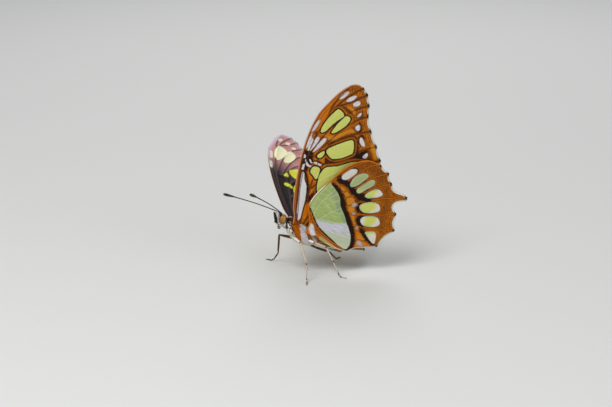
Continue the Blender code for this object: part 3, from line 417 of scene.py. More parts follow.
# Feelers, palps and tongue in the body's frame, as (forward, left, up, radius).
ANTENNA = {
    "left": [(3.9, 0.5, 0.8, 0.2), (4.3, 1.0, 1.2, 0.17), (9.0, 5.0, 1.9, 0.15), (14.2, 10.0, 2.1, 0.17),
             (15.6, 11.4, 2.1, 0.3), (16.6, 12.4, 2.05, 0.42), (17.4, 13.2, 2.0, 0.36),
             (17.8, 13.6, 2.0, 0.1)],
    "right": [(3.9, -0.5, 0.75, 0.2), (4.3, -1.0, 1.1, 0.17), (10.0, -5.4, 0.8, 0.15),
              (15.8, -10.3, 0.0, 0.17), (17.2, -11.5, -0.25, 0.3), (18.3, -12.3, -0.45, 0.42),
              (19.1, -13.0, -0.6, 0.36), (19.5, -13.3, -0.7, 0.1)],
}
ANTENNA_RING = 0.32
PALP_HAIRS = 2200
SCALE_WIDTH = 0.09
PALP = [(3.3, 0.72, -1.4, 0.3), (3.8, 0.78, -1.9, 0.36), (4.3, 0.78, -1.2, 0.38), (4.9, 0.7, -0.4, 0.3),
        (5.5, 0.62, 0.3, 0.08)]
PROBOSCIS_ROOT = (2.9, 0.0, -1.6)
PROBOSCIS_CENTRE = (2.45, 0.0, -3.0)
PROBOSCIS_OUTER = 0.5
PROBOSCIS_INNER = 0.08
PROBOSCIS_TURNS = 2.0
PROBOSCIS_RADIUS = 0.12

# Legs as (forward, left, height over the floor, radius), from the wing roots' place on the floor.
FOOT_HEIGHT = 0.2
SPINE_SEED = 21
SPINES = 60
SPINE_WIDTH = 0.07
LEGS = {
    "midleg_left": [(-0.6, 1.4, 11.6, 0.46), (-2.25, 4.5, 10.6, 0.34), (-3.6, 8.5, 5.0, 0.24),
                    (-3.35, 10.9, 1.0, 0.19), (-3.2, 12.0, FOOT_HEIGHT, 0.18),
                    (-3.0, 13.6, FOOT_HEIGHT, 0.16)],
    "hindleg_left": [(-4.4, 2.1, 10.9, 0.44), (-6.7, 3.2, 10.0, 0.34), (-10.3, 3.3, 8.4, 0.28),
                     (-12.2, 5.0, 4.4, 0.23), (-13.5, 7.0, 1.0, 0.19), (-14.2, 7.6, FOOT_HEIGHT, 0.18),
                     (-15.3, 8.5, FOOT_HEIGHT, 0.16)],
    "midleg_right": [(-2.0, -0.8, 10.4, 0.46), (2.5, -7.2, 9.9, 0.3), (2.4, -11.0, 3.0, 0.22),
                     (3.4, -12.2, 0.9, 0.19), (4.2, -13.1, FOOT_HEIGHT, 0.18),
                     (5.4, -14.3, FOOT_HEIGHT, 0.16)],
    "hindleg_right": [(-3.6, -0.2, 10.0, 0.46), (-7.8, -2.6, 6.9, 0.34), (-13.2, -8.6, 3.4, 0.24),
                      (-15.2, -11.0, 0.9, 0.19), (-16.0, -12.0, FOOT_HEIGHT, 0.18),
                      (-17.2, -13.2, FOOT_HEIGHT, 0.16)],
}
FORELEG = [(-1.6, 1.5, -2.3, 0.34), (-1.2, 2.5, -2.9, 0.3), (-0.2, 2.4, -2.05, 0.26),
           (1.0, 2.1, -1.0, 0.12)]

# The spacing of a leg's knots, and the shares of its radius in a swell, a waist and a foot's ring.
LEG_STEP = 0.22
LEG_SWELL = 0.22
LEG_WAIST = 0.25
LEG_RING = 0.12

# The camera looks from the butterfly's left, a little above it.
CAMERA_AT = (0.59099, -0.08597, 0.177)
CAMERA_AIM = (0.01739, -0.00317, 0.0217)

# Area lights, as (place, size) in metres.
LIGHTS = {
    "key": ((0.35, -0.25, 0.5), 0.3),
    "fill": ((0.5, 0.45, 0.2), 0.5),
    "back": ((-0.45, 0.1, 0.45), 0.4),
}


def colour(red, green, blue):
    """A linear colour from the 0 to 255 values of a colour picker."""
    shares = [value / 255 for value in (red, green, blue)]
    return tuple(share / 12.92 if share <= 0.04045 else ((share + 0.055) / 1.055) ** 2.4 for share in shares)


def shade_property(name, description, values):
    return FloatVectorProperty(name=name, description=description, default=colour(*values), subtype="COLOR",
                               size=3, min=0.0, max=1.0)


def length_property(name, description, millimetres):
    return FloatProperty(name=name, description=description, default=millimetres * MM, min=0.0,
                         unit="LENGTH", precision=5)


def tufts_property(name, description, count):
    return IntProperty(name=name, description=description, default=count, min=0)


def power_property(name, description, watts):
    return FloatProperty(name=name, description=description, default=watts, min=0.0, unit="POWER")


class WingSettings(bpy.types.PropertyGroup):
    """Sizes and colours of the four wings."""
    membrane: length_property("Membrane", "Thickness of the wing between its veins", 0.22)
    crest: length_property("Vein crest", "Thickness of the wing over a vein", 0.52)
    step: length_property("Mesh step", "Spacing of the points in the membrane", 0.36)
    relief: length_property("Relief", "How far the membrane sinks between veins", 0.16)
    ground: shade_property("Ground", "Brown of the underside", (168, 96, 4))
    deep: shade_property("Deep brown", "Darker brown of the ripples", (96, 46, 4))
    orange: shade_property("Orange", "Bands beside the field and vein crests", (214, 116, 4))
    tan: shade_property("Tan", "Light orange brown of the bands' middle", (212, 138, 36))
    buff: shade_property("Buff", "Pale olive buff beside the abdomen", (176, 156, 96))
    green: shade_property("Green", "Pale green of the patches", (202, 214, 130))
    yellow: shade_property("Yellow green", "Warmer green of the patches", (210, 212, 102))
    field: shade_property("Field green", "Cooler green of the hindwing's field", (158, 178, 108))
    celadon: shade_property("Celadon", "Grey green at the edges of field and patches", (176, 190, 156))
    slate: shade_property("Slate", "Blue-grey smudges in the field", (134, 152, 132))
    lilac: shade_property("Lilac", "Lilac white of stripes and the field's lower part", (212, 208, 224))
    cream: shade_property("Cream", "Cream of the small marks", (240, 232, 212))
    dark: shade_property("Dark", "Near-black outlines", (34, 12, 6))
    edge: shade_property("Front edge", "Pinkish tan of the front rim", (204, 136, 96))
    upper: shade_property("Upper side", "Black-brown of the upper side", (26, 15, 12))
    upper_vein: shade_property("Upper veins", "Purple-brown veins of the upper side", (72, 54, 56))
    # Upper tip: a painted pinkish sheen, light glancing off the dark upper side towards the tip.
    upper_tip_sheen: shade_property("Upper tip", "Pinkish brown towards the forewing's tip", (210, 148, 142))
    upper_rim: shade_property("Upper rim", "Lilac rim of the forewing's tip", (220, 190, 208))
    # Window: the windows near the forewing's tip painted near white, painted light shining through their pale
    # green.
    glow: shade_property("Window", "Yellow-white of the windows near the tip", (255, 252, 206))
    fold: shade_property("Inner fold", "Grey brown of the upper side by the abdomen", (150, 132, 104))
    window: shade_property("Inner window", "Yellow green of the windows near the root", (228, 228, 56))


class BodySettings(bpy.types.PropertyGroup):
    """Hair and colours of the head, thorax and abdomen."""
    seed: IntProperty(name="Seed", description="Start value of the hair's random draw", default=7, min=0)
    thorax_hairs: tufts_property("Thorax tufts", "Tufts on the thorax", 11000)
    head_hairs: tufts_property("Head tufts", "Tufts on the head", 4500)
    abdomen_hairs: tufts_property("Abdomen tufts", "Tufts on the abdomen", 9000)
    voxel: length_property("Skin voxel", "Cell size of the skin's remesh", 0.16)
    orange: shade_property("Orange", "Orange-brown bands of the thorax", (214, 118, 8))
    white: shade_property("White", "White bands of the thorax", (248, 242, 242))
    dark: shade_property("Dark", "Dark hair on the back and between bands", (56, 36, 26))
    cream: shade_property("Cream", "Cream of the underside", (244, 238, 212))
    olive: shade_property("Olive", "Greenish buff of the abdomen's side", (198, 188, 124))
    eye: shade_property("Eye", "Amber of the eye", (208, 134, 8))
    eye_low: shade_property("Lower eye", "Olive of the eye's lower part", (150, 128, 20))
    eye_band: shade_property("Eye band", "Darker bands of the eye", (112, 56, 6))


class LimbSettings(bpy.types.PropertyGroup):
    """Colours of the feelers, tongue and legs."""
    feeler: shade_property("Feeler", "Dark rings of the feelers", (46, 34, 26))
    feeler_scale: shade_property("Feeler scales", "Pale scales between the rings", (120, 108, 84))
    leg: shade_property("Leg", "Pale scales on the legs' outer side", (200, 188, 168))
    thigh: shade_property("Thigh", "Cream of the thighs and front legs", (238, 226, 212))
    # Leg shade: the legs' own brown, and on their inner side also a painted shade.
    leg_dark: shade_property("Leg shade", "Brown of the legs' inner side, joints and spines", (84, 58, 40))
    spine: length_property("Spine", "Length of the legs' spines", 0.5)


class StageSettings(bpy.types.PropertyGroup):
    """Floor, lights and lens."""
    lens: FloatProperty(name="Lens", description="Focal length", default=118.1, min=20.0, unit="CAMERA")
    floor: shade_property("Floor", "Pale matt floor", (226, 226, 222))
    key_watts: power_property("Key light", "Power of the main light", 2.5)
    fill_watts: power_property("Fill light", "Power of the fill light", 0.9)
    back_watts: power_property("Back light", "Power of the light behind", 1.2)


def body_turn():
    return Euler((-BODY_PITCH, -BODY_ROLL, 0.0), "YXZ").to_matrix()


def unit_rows(vectors):
    return vectors / np.linalg.norm(vectors, axis=1)[:, None]


def without_part_along(vectors, directions):
    return vectors - directions * (vectors * directions).sum(axis=1)[:, None]


def vertex_places(mesh):
    return np.array([vertex.co[:] for vertex in mesh.vertices])


def vertex_normals(mesh):
    return np.array([vertex.normal[:] for vertex in mesh.vertices])


def from_body(points):
    """Frame points in metres from (forward, left, up) in the body's millimetres."""
    points = np.atleast_2d(np.asarray(points, dtype=float))
    local = np.column_stack((points[:, 1], -points[:, 0], points[:, 2]))
    return (local @ np.array(body_turn()).T + ROOTS_AT) * MM


def to_body(points):
    """Body millimetres (forward, left, up) from frame points in metres."""
    local = (np.asarray(points) / MM - ROOTS_AT) @ np.array(body_turn())
    return np.column_stack((-local[:, 1], local[:, 0], local[:, 2]))


def from_floor(points):
    """Frame points in metres from (forward, left, height over the floor) in millimetres."""
    points = np.asarray(points)
    return np.column_stack((points[:, 1] + ROOTS_AT[0], -points[:, 0] + ROOTS_AT[1], points[:, 2])) * MM


def body_heading(vectors):
    """Frame directions, in metres, from directions (forward, left, up) in the body's millimetres."""
    return from_body(vectors) - from_body((0.0, 0.0, 0.0))[0]


def from_wing(side_name, forward, out, height):
    """Frame points in metres from places on a wing's flat drawing and their height over it."""
    side = SIDES[side_name]
    lift = -side * WING_LIFT[side_name]
    across = side * out
    left = across * math.cos(lift) + height * math.sin(lift) + side * ROOT_HALF
    up = height * math.cos(lift) - across * math.sin(lift)
    return from_body(np.column_stack((forward, left, up)))


def smooth_line(points, step, closed=False):
    """A Catmull-Rom line through the points that keeps each of them, with stretches of about one step."""
    knots = np.asarray(points, dtype=float)
    if closed:
        knots = np.vstack((knots[-1], knots, knots[:2]))
    else:
        knots = np.vstack((2 * knots[0] - knots[1], knots, 2 * knots[-1] - knots[-2]))
    line = []
    for before, start, end, after in zip(knots, knots[1:], knots[2:], knots[3:]):
        count = max(1, round(float(np.linalg.norm(end - start)) / step))
        for part in range(count):
            t = part / count
            line.append(0.5 * (2 * start + (end - before) * t
                               + (2 * before - 5 * start + 4 * end - after) * t ** 2
                               + (3 * start - before - 3 * end + after) * t ** 3))
    if not closed:
        line.append(knots[-2])
    return np.array(line)


def scallop(start, end, sag):
    """The outer margin between two vein ends: a shallow bay that goes in towards the body by its sag."""
    start, end = np.array(start), np.array(end)
    along = end - start
    inward = np.array((-along[1], along[0])) / np.linalg.norm(along)
    if inward @ start > 0:
        inward = -inward
    return [start, start + along * 0.5 + inward * sag, end]


def line_distance(points, line):
    """How far each point lies from a line in the flat drawing."""
    nearest = np.full(len(points), np.inf)
    for start, end in zip(line[:-1], line[1:]):
        along = end - start
        share = np.clip((points - start) @ along / max(along @ along, 1e-12), 0.0, 1.0)
        gap = points - start - share[:, None] * along
        nearest = np.minimum(nearest, np.hypot(gap[:, 0], gap[:, 1]))
    return nearest


def nearest_line(points, lines):
    return np.min([line_distance(points, line) for line in lines], axis=0)


def ring_of(outline):
    """An outline with its first point repeated at its end."""
    return np.vstack((outline, outline[:1]))


def is_inside(points, outline):
    """True for each point that a closed outline goes round."""
    inside = np.zeros(len(points), dtype=bool)
    for start, end in zip(outline, np.roll(outline, -1, axis=0)):
        spans = (start[1] > points[:, 1]) != (end[1] > points[:, 1])
        if spans.any():
            crossing = start[0] + (points[:, 1] - start[1]) / (end[1] - start[1]) * (end[0] - start[0])
            inside ^= spans & (points[:, 0] < crossing)
    return inside


def shape_field(points, shapes):
    """The distance to the nearest of the shapes' outlines, negative inside a shape."""
    field = np.full(len(points), FAR_AWAY)
    for shape in shapes:
        outline = smooth_line(shape, LINE_STEP, closed=True)
        distance = line_distance(points, ring_of(outline))
        field = np.minimum(field, np.where(is_inside(points, outline), -distance, distance))
    return field


def scallops(ends, sags):
    return [scallop(*bay) for bay in zip(ends, ends[1:], sags)]


def forewing_stretches(step):
    return {"front": [smooth_line(FOREWING_FRONT, step)],
            "margin": [smooth_line(bay, step) for bay in scallops(FOREWING_ENDS, FOREWING_SAGS)],
            "rear": [smooth_line(FOREWING_REAR, step)]}


def hindwing_stretches(step):
    margin = scallops(HINDWING_ENDS, HINDWING_SAGS) + [TAIL_FRONT, TAIL_REAR]
    margin += scallops(HINDWING_LOWER_ENDS, HINDWING_LOWER_SAGS)
    return {"front": [smooth_line(HINDWING_FRONT, step)],
            "margin": [smooth_line(stretch, step) for stretch in margin],
            "rear": [smooth_line(HINDWING_FOOT, step), smooth_line(HINDWING_REAR, step)]}


WINGS = {
    "forewing": {"stretches": forewing_stretches, "veins": FOREWING_VEINS, "drop": 0.0,
                 "under": FOREWING_UNDER, "upper": FOREWING_UPPER},
    "hindwing": {"stretches": hindwing_stretches, "veins": HINDWING_VEINS, "drop": HINDWING_DROP,
                 "under": HINDWING_UNDER, "upper": HINDWING_UPPER},
}


def wing_outline(stretches):
    lines = [line[:-1] for part in stretches.values() for line in part]
    return np.vstack(lines + [stretches["rear"][-1][-1:]])


def staggered_grid(outline, step):
    low, high = outline.min(axis=0), outline.max(axis=0)
    rows = np.arange(low[1], high[1], step * math.sqrt(0.75))
    columns = np.arange(low[0], high[0], step)
    return np.array([(x + (number % 2) * step / 2, y) for number, y in enumerate(rows) for x in columns])


def wing_points(outline, veins, step):
    """The points of a wing: its rim, its vein crests, the feet of each vein and the membrane between."""
    crests = [smooth_line(points, step) for points in veins.values()]
    rim = ring_of(outline)
    feet = []
    for crest in crests:
        along = unit_rows(np.gradient(crest, axis=0))
        across = np.column_stack((-along[:, 1], along[:, 0])) * VEIN_FOOT
        feet += [crest + across, crest - across]
    feet = np.vstack(feet)
    clear = (nearest_line(feet, crests) > VEIN_CLEAR) & (line_distance(feet, rim) > RIM_CLEAR)
    feet = feet[clear & is_inside(feet, outline)]
    grid = staggered_grid(outline, step)
    grid = grid[is_inside(grid, outline)]
    vein_gap = nearest_line(grid, crests)
    grid = grid[(vein_gap > VEIN_FOOT + 0.4 * step) & (line_distance(grid, rim) > 0.5 * step)]
    return crests, np.vstack((feet, grid))


def wing_height(out, drop):
    return WING_BOW * np.sin(np.pi * np.maximum(out, 0.0) / WING_SPAN) - drop


def folded(out, height, fold):
    """Bend what lies inside the fold line down by the fold angle, on a small radius."""
    inside = np.maximum(FOLD_LINE - out, 0.0)
    turned = np.minimum(inside / FOLD_RADIUS, fold)
    straight = inside - turned * FOLD_RADIUS
    back = FOLD_RADIUS * np.sin(turned) + straight * np.cos(turned)
    down = FOLD_RADIUS * (1.0 - np.cos(turned)) + straight * np.sin(turned)
    bent = inside > 0.0
    return np.where(bent, FOLD_LINE - back, out), np.where(bent, height - down, height)


def wing_surface(side_name, kind, forward, out, extra=0.0):
    """Frame points of places on a wing's middle surface, raised by the extra height."""
    height = wing_height(out, WINGS[kind]["drop"]) + extra
    fold = math.pi / 2 - WING_LIFT[side_name] if kind == "hindwing" else 0.0
    bent_out, bent_height = folded(out, height, fold)
    return from_wing(side_name, forward, bent_out, bent_height)


def set_field(mesh, name, values):
    attribute = mesh.attributes.new(name, "FLOAT", "POINT")
    attribute.data.foreach_set("value", np.asarray(values, dtype=np.float32))


def set_marking(mesh, colours):
    attribute = mesh.attributes.new("marking", "FLOAT_COLOR", "POINT")
    values = np.column_stack((colours, np.ones(len(colours))))
    attribute.data.foreach_set("color", np.asarray(values, dtype=np.float32).ravel())


def bay_share(points, stretches):
    """1 in the middle of each bay of the margin, 0 at the vein ends between them."""
    ends = np.array([line[end] for line in stretches["margin"] for end in (0, -1)])
    gaps = np.linalg.norm(points[:, None, :] - ends[None, :, :], axis=2).min(axis=1)
    return np.clip((gaps - BAY_FROM) / BAY_SOFT, 0.0, 1.0)


def wing_fields(mesh, kind, places, stretches, rim):
    """Store how far each point lies from the veins, edges and markings, in millimetres."""
    wing = WINGS[kind]
    veins = [smooth_line(vein, LINE_STEP) for vein in wing["veins"].values()]
    set_field(mesh, "vein", nearest_line(places, veins))
    set_field(mesh, "rim", line_distance(places, rim))
    set_field(mesh, "front", line_distance(places, stretches["front"][0]))
    set_field(mesh, "margin", nearest_line(places, stretches["margin"]))
    set_field(mesh, "bay", bay_share(places, stretches))
    for name in UNDER_FIELDS:
        set_field(mesh, "under_" + name, shape_field(places, wing["under"].get(name, [])))
    for name in ("glow", "pale", "fold"):
        set_field(mesh, "upper_" + name, shape_field(places, wing["upper"].get(name, [])))
    flat = mesh.attributes.new("flat", "FLOAT_VECTOR", "POINT")
    values = np.column_stack((places, np.zeros(len(places))))
    flat.data.foreach_set("vector", values.astype(np.float32).ravel())


def activate(obj):
    bpy.ops.object.select_all(action="DESELECT")
    obj.select_set(True)
    bpy.context.view_layer.objects.active = obj


def apply_modifiers(obj):
    activate(obj)
    for modifier in list(obj.modifiers):
        bpy.ops.object.modifier_apply(modifier=modifier.name)


def link_mesh(name, mesh):
    obj = bpy.data.objects.new(name, mesh)
    bpy.context.scene.collection.objects.link(obj)
    return obj


def finish_piece(obj, slot_name, *nodes):
    """Put the piece's place in its mesh, let it ride on the body and hide the frame's parts that it stands
    for.
    """
    activate(obj)
    bpy.ops.object.transform_apply(location=True, rotation=True, scale=True)
    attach(obj, "root")
    if nodes:
        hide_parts(*nodes)
    return obj


def add_wing(kind, side_name, settings, materials):
    """Mesh one wing's flat drawing, bend it into place, thicken it and leave its veins raised."""
    wing = WINGS[kind]
    step = settings.step / MM
    stretches = wing["stretches"](step)
    outline = wing_outline(stretches)
    crests, spread = wing_points(outline, wing["veins"], step)
    drawn = np.vstack([outline] + crests + [spread])
    edges = []
    first = len(outline)
    for crest in crests:
        edges += [(index, index + 1) for index in range(first, first + len(crest) - 1)]
        first += len(crest)
    crest_numbers = range(len(outline), first)
    flat = [Vector(point) for point in drawn]
    border = [list(range(len(outline)))]
    points, _, triangles, sources, _, _ = delaunay_2d_cdt(flat, edges, border, 0, 1e-4, True)
    places = np.array(points)
    corners = np.array([corner for corner in triangles if len(corner) == 3])
    corners = corners[is_inside(places[corners].mean(axis=1), outline)]
    used, corners = np.unique(corners, return_inverse=True)
    corners = corners.reshape(-1, 3)
    places = places[used]
    raised = [number for number, source in enumerate(used)
              if any(entry in crest_numbers for entry in sources[source])]
    sink = -settings.relief / MM * np.clip(nearest_line(places, crests) / VEIN_SLOPE, 0.0, 1.0) ** 0.7
    surface = wing_surface(side_name, kind, places[:, 0], places[:, 1], sink)
    mesh = bpy.data.meshes.new(kind + "_" + side_name + "_scaled")
    mesh.from_pydata(surface.tolist(), [], corners.tolist())
    face_up(mesh, side_name)
    wing_fields(mesh, kind, places, stretches, ring_of(outline))
    obj = link_mesh(mesh.name, mesh)
    for material in materials:
        mesh.materials.append(material)
    group = obj.vertex_groups.new(name="veins")
    group.add(raised, 1.0, "REPLACE")
    shell = obj.modifiers.new("thickness", "SOLIDIFY")
    shell.thickness = settings.crest
    shell.offset = 0.0
    shell.vertex_group = group.name
    shell.thickness_vertex_group = settings.membrane / settings.crest
    shell.material_offset = 1
    shell.material_offset_rim = 1
    apply_modifiers(obj)
    mesh.shade_smooth()
    return finish_piece(obj, "wings", kind + "_" + side_name)


def face_up(mesh, side_name):
    """Turn every face of a wing's sheet to the wing's upper side."""
    base = wing_surface(side_name, "forewing", np.zeros(1), np.zeros(1))
    over = wing_surface(side_name, "forewing", np.zeros(1), np.zeros(1), 1.0)
    upward = Vector((over - base)[0])
    sheet = bmesh.new()
    sheet.from_mesh(mesh)
    sheet.normal_update()
    turned = [face for face in sheet.faces if face.normal.dot(upward) < 0 and face.calc_area() > 0]
    if len(turned) > len(sheet.faces) / 2:
        bmesh.ops.reverse_faces(sheet, faces=sheet.faces)
    sheet.to_mesh(mesh)
    sheet.free()


# Hair, scales and fringes. A tuft has two rings of three corners and a tip.
# How deep it sits, where its middle is and how far that rises are shares of its length.

TUFT_CORNERS = 7
TUFT_SUNK = 0.08
TUFT_MIDDLE = 0.55
TUFT_RISE = 0.06
# Each tuft's root corners are darkened by this share, a painted shade where the tufts crowd at the skin, and
# its tip is lightened by the next.
TUFT_ROOT_PAINTED_SHADE = 0.94
TUFT_TIP_SHADE = 1.15
TUFT_FACES = [(0, 1, 4, 3), (1, 2, 5, 4), (2, 0, 3, 5), (3, 4, 6), (4, 5, 6), (5, 3, 6), (2, 1, 0)]
TUFT_UNWRAP = np.array([(-1, -1), (0, -1), (1, -1), (-1, 0), (0, 0), (1, 0), (0, 1)]) * 0.0015
SHEET_EDGE = 0.01


def on_sheet(values, low, high, edge):
    """Places on the unwrap's sheet, from 0 to 1, that stay off its edge."""
    return edge + (1.0 - 2.0 * edge) * (values - low) / (high - low)


def unwrap(points):
    """The body's own unwrap: the angle about its axis, and how far along it."""
    body = to_body(points)
    angle = np.arctan2(body[:, 1], body[:, 2] - THORAX[0][2])
    return np.column_stack((on_sheet(angle, -math.pi, math.pi, SHEET_EDGE),
                            on_sheet(body[:, 0], *BODY_REACH, SHEET_EDGE)))


def add_tufts(name, roots, lie, normals, lengths, widths, places, colours, material, bend=0.35):
    """Solid tapered tufts, three-sided, each sunk a little at its root and bent towards the skin."""
    count = len(roots)
    length, width = lengths[:, None], np.broadcast_to(widths, count)[:, None]
    lie = unit_rows(lie)
    side = unit_rows(np.cross(lie, normals))
    up = np.cross(side, lie)
    base = roots - lie * length * TUFT_SUNK
    middle = roots + lie * length * TUFT_MIDDLE + up * length * TUFT_RISE
    tip = roots + lie * length - up * length * bend * 0.3
    ring = [side * 0.5, -side * 0.5, up * 0.45]
    corners = [base + offset * width for offset in ring]
    corners += [middle + offset * width * 0.8 for offset in ring]
    corners.append(tip)
    vertices = np.stack(corners, axis=1).reshape(-1, 3)
    start = np.arange(count)[:, None] * TUFT_CORNERS
    faces = []
    for face in TUFT_FACES:
        faces += (start + np.array(face)).tolist()
    mesh = bpy.data.meshes.new(name)
    mesh.from_pydata(vertices.tolist(), [], faces)
    mesh.materials.append(material)
    shades = np.repeat(colours, TUFT_CORNERS, axis=0).reshape(count, TUFT_CORNERS, 3)
    # Painted shade at each root; the tip made lighter.
    shades[:, :3] *= TUFT_ROOT_PAINTED_SHADE
    shades[:, -1] = np.minimum(shades[:, -1] * TUFT_TIP_SHADE, 1.0)
    set_marking(mesh, shades.reshape(-1, 3))
    spots = (places[:, None, :] + TUFT_UNWRAP[None, :, :]).reshape(-1, 2)
    corner_numbers = np.empty(len(mesh.loops), dtype=np.int32)
    mesh.loops.foreach_get("vertex_index", corner_numbers)
    layer = mesh.uv_layers.new(name="OFBake")
    layer.data.foreach_set("uv", spots[corner_numbers].astype(np.float32).ravel())
    mesh.shade_smooth()
    return link_mesh(name, mesh)


def varied(colours, low, spread, draw):
    """The colours of single tufts, each a little lighter or darker."""
    return np.clip(colours * (low + spread * draw.random((len(colours), 1))), 0, 1)


def skin_samples(mesh, count, chance, draw):
    """Random places on the skin with their normals, more of them where the chance is higher."""
    mesh.calc_loop_triangles()
    corners = np.array([triangle.vertices[:] for triangle in mesh.loop_triangles])
    spots, normals = vertex_places(mesh), vertex_normals(mesh)
    a, b, c = (spots[corners[:, index]] for index in range(3))
    area = np.linalg.norm(np.cross(b - a, c - a), axis=1)
    weight = area * chance(to_body((a + b + c) / 3))
    picks = draw.choice(len(corners), size=count, p=weight / weight.sum())
    first, second = draw.random(count), draw.random(count)
    fold = first + second > 1
    first[fold], second[fold] = 1 - first[fold], 1 - second[fold]
    shares = np.column_stack((1 - first - second, first, second))
    places = sum(shares[:, index, None] * spots[corners[picks, index]] for index in range(3))
    facing = sum(shares[:, index, None] * normals[corners[picks, index]] for index in range(3))
    return places, unit_rows(facing)


def body_markings(body, settings):
    """The colour at each place of the body: banded thorax, dark back, cream underside, ringed abdomen."""
    forward, left, up = body.T
    names = ("orange", "white", "dark", "cream", "olive")
    shades = {name: np.array(getattr(settings, name)) for name in names}
    colours = np.tile(shades["cream"], (len(body), 1))
    for edge, slope, name in THORAX_BANDS:
        colours[forward - slope * up < edge] = shades[name]
    axis_up = ABDOMEN_AT[2] - (forward - ABDOMEN_AT[0]) * math.tan(ABDOMEN_TILT)
    abdomen = forward < ABDOMEN_FROM
    height = up - axis_up
    colours[abdomen] = shades["olive"]
    colours[abdomen & (height > -0.2)] = shades["orange"]
    colours[abdomen & (height > 0.7)] = shades["dark"]
    colours[abdomen & (np.abs(height + 0.9) < 0.16)] = shades["orange"]
    colours[abdomen & (height < -1.35)] = shades["cream"]
    back = (forward > ABDOMEN_FROM) & (forward < 1.2) & (np.abs(left) < 1.7) & (up > -0.6)
    colours[back] = shades["dark"] * 0.6 + shades["orange"] * 0.4
    belly = (forward > ABDOMEN_FROM) & (forward < 1.6) & (np.abs(left) < 1.6) & (up < -2.6)
    colours[belly] = shades["cream"]
    head = forward >= HEAD_FROM
    colours[head & (up < -1.0)] = shades["cream"]
    colours[head & (up >= -1.0)] = shades["dark"]
    behind_eye = head & (forward < 2.3) & (np.abs(left) > 0.9)
    colours[behind_eye] = shades["dark"]
    colours[behind_eye & (forward > 1.62)] = shades["white"]
    parting = head & (np.abs(left) > 0.25) & (np.abs(left) < 0.5) & (up > 0.2)
    colours[parting] = shades["white"]
    return colours


# Materials. Each builds its colour, roughness and bump from nodes.

class Graph:
    """A material's nodes, made one after another."""

    def __init__(self, name):
        self.material = bpy.data.materials.new(name)
        self.material.use_nodes = True
        self.tree = self.material.node_tree
        self.shader = self.tree.nodes["Principled BSDF"]

    def plug(self, socket, value):
        if isinstance(value, bpy.types.NodeSocket):
            self.tree.links.new(value, socket)
        elif hasattr(value, "__len__") and len(value) == 3 and len(socket.default_value) == 4:
            socket.default_value = (*value, 1.0)
        else:
            socket.default_value = value

    def node(self, kind, output, inputs, **values):
        """An output of a new node, whose inputs are links or plain values."""
        made = self.tree.nodes.new(kind)
        for name, value in values.items():
            setattr(made, name, value)
        for name, value in inputs.items():
            self.plug(made.inputs[name], value)
        return made.outputs[output]

    def field(self, name, output="Fac"):
        """A value, vector or colour that the mesh holds at each point."""
        return self.node("ShaderNodeAttribute", output, {}, attribute_name=name)

    def place(self):
        return self.node("ShaderNodeTexCoord", "Object", {})

    def part(self, vector, axis):
        return self.node("ShaderNodeSeparateXYZ", axis, {"Vector": vector})

    def math(self, operation, first, second=0.0):
        return self.node("ShaderNodeMath", 0, {0: first, 1: second}, operation=operation)

    def times(self, first, *others):
        for other in others:
            first = self.math("MULTIPLY", first, other)
        return first

    def plus(self, first, second):
        return self.math("ADD", first, second)

    def noise(self, vector, scale, detail=2.0):
        return self.node("ShaderNodeTexNoise", "Fac", {"Vector": vector, "Scale": scale, "Detail": detail})

    def wander(self, vector, scale, reach, detail=3.0):
        """Noise that goes as far below 0 as above it, over a reach in all."""
        return self.times(self.math("SUBTRACT", self.noise(vector, scale, detail), 0.5), reach)

    def cells(self, vector, scale):
        return self.node("ShaderNodeTexVoronoi", "Distance", {"Vector": vector, "Scale": scale})

    def stretch(self, vector, scale):
        return self.node("ShaderNodeMapping", "Vector", {"Vector": vector, "Scale": scale})

    def between(self, value, low, high):
        """0 at the low value and 1 at the high one, which may be the smaller of the two."""
        return self.node("ShaderNodeMapRange", "Result", {"Value": value, "From Min": low, "From Max": high},
                         interpolation_type="SMOOTHSTEP")

    def below(self, value, edge, soft=0.06):
        """1 where the value is under the edge."""
        return self.between(value, edge + soft, edge - soft)

    def mix(self, share, first, second):
        return self.node("ShaderNodeMix", 2, {0: share, 6: first, 7: second}, data_type="RGBA")

    def tint(self, shade, other, share, strength=1.0):
        """A shade with another laid over it where the share is high, at most by the strength."""
        if strength < 1.0:
            share = self.times(share, strength)
        return self.mix(share, shade, other)

    def bump(self, height, strength, distance):
        inputs = {"Height": height, "Strength": strength, "Distance": distance}
        self.plug(self.shader.inputs["Normal"], self.node("ShaderNodeBump", "Normal", inputs))

    def finish(self, shade, roughness, gloss=0.12):
        self.plug(self.shader.inputs["Base Color"], shade)
        self.plug(self.shader.inputs["Roughness"], roughness)
        self.shader.inputs["Specular IOR Level"].default_value = gloss
        return self.material


def add_scale_finish(graph, shade):
    """Speckle the colour by tiny overlapping scales in rows and give them a faint relief."""
    flat = graph.field("flat", "Vector")
    scales = graph.cells(graph.stretch(flat, (1.0, 0.7, 1.0)), 7.0)
    speckle = graph.noise(flat, 5.5, 3.0)
    shade = graph.tint(shade, (0.0, 0.0, 0.0), graph.between(scales, 0.2, 0.75), 0.14)
    shade = graph.tint(shade, (1.0, 0.95, 0.85), graph.between(speckle, 0.55, 0.85), 0.1)
    graph.bump(scales, 0.2, 0.00005)
    return graph.finish(shade, graph.between(speckle, -0.6, 1.9), 0.1)


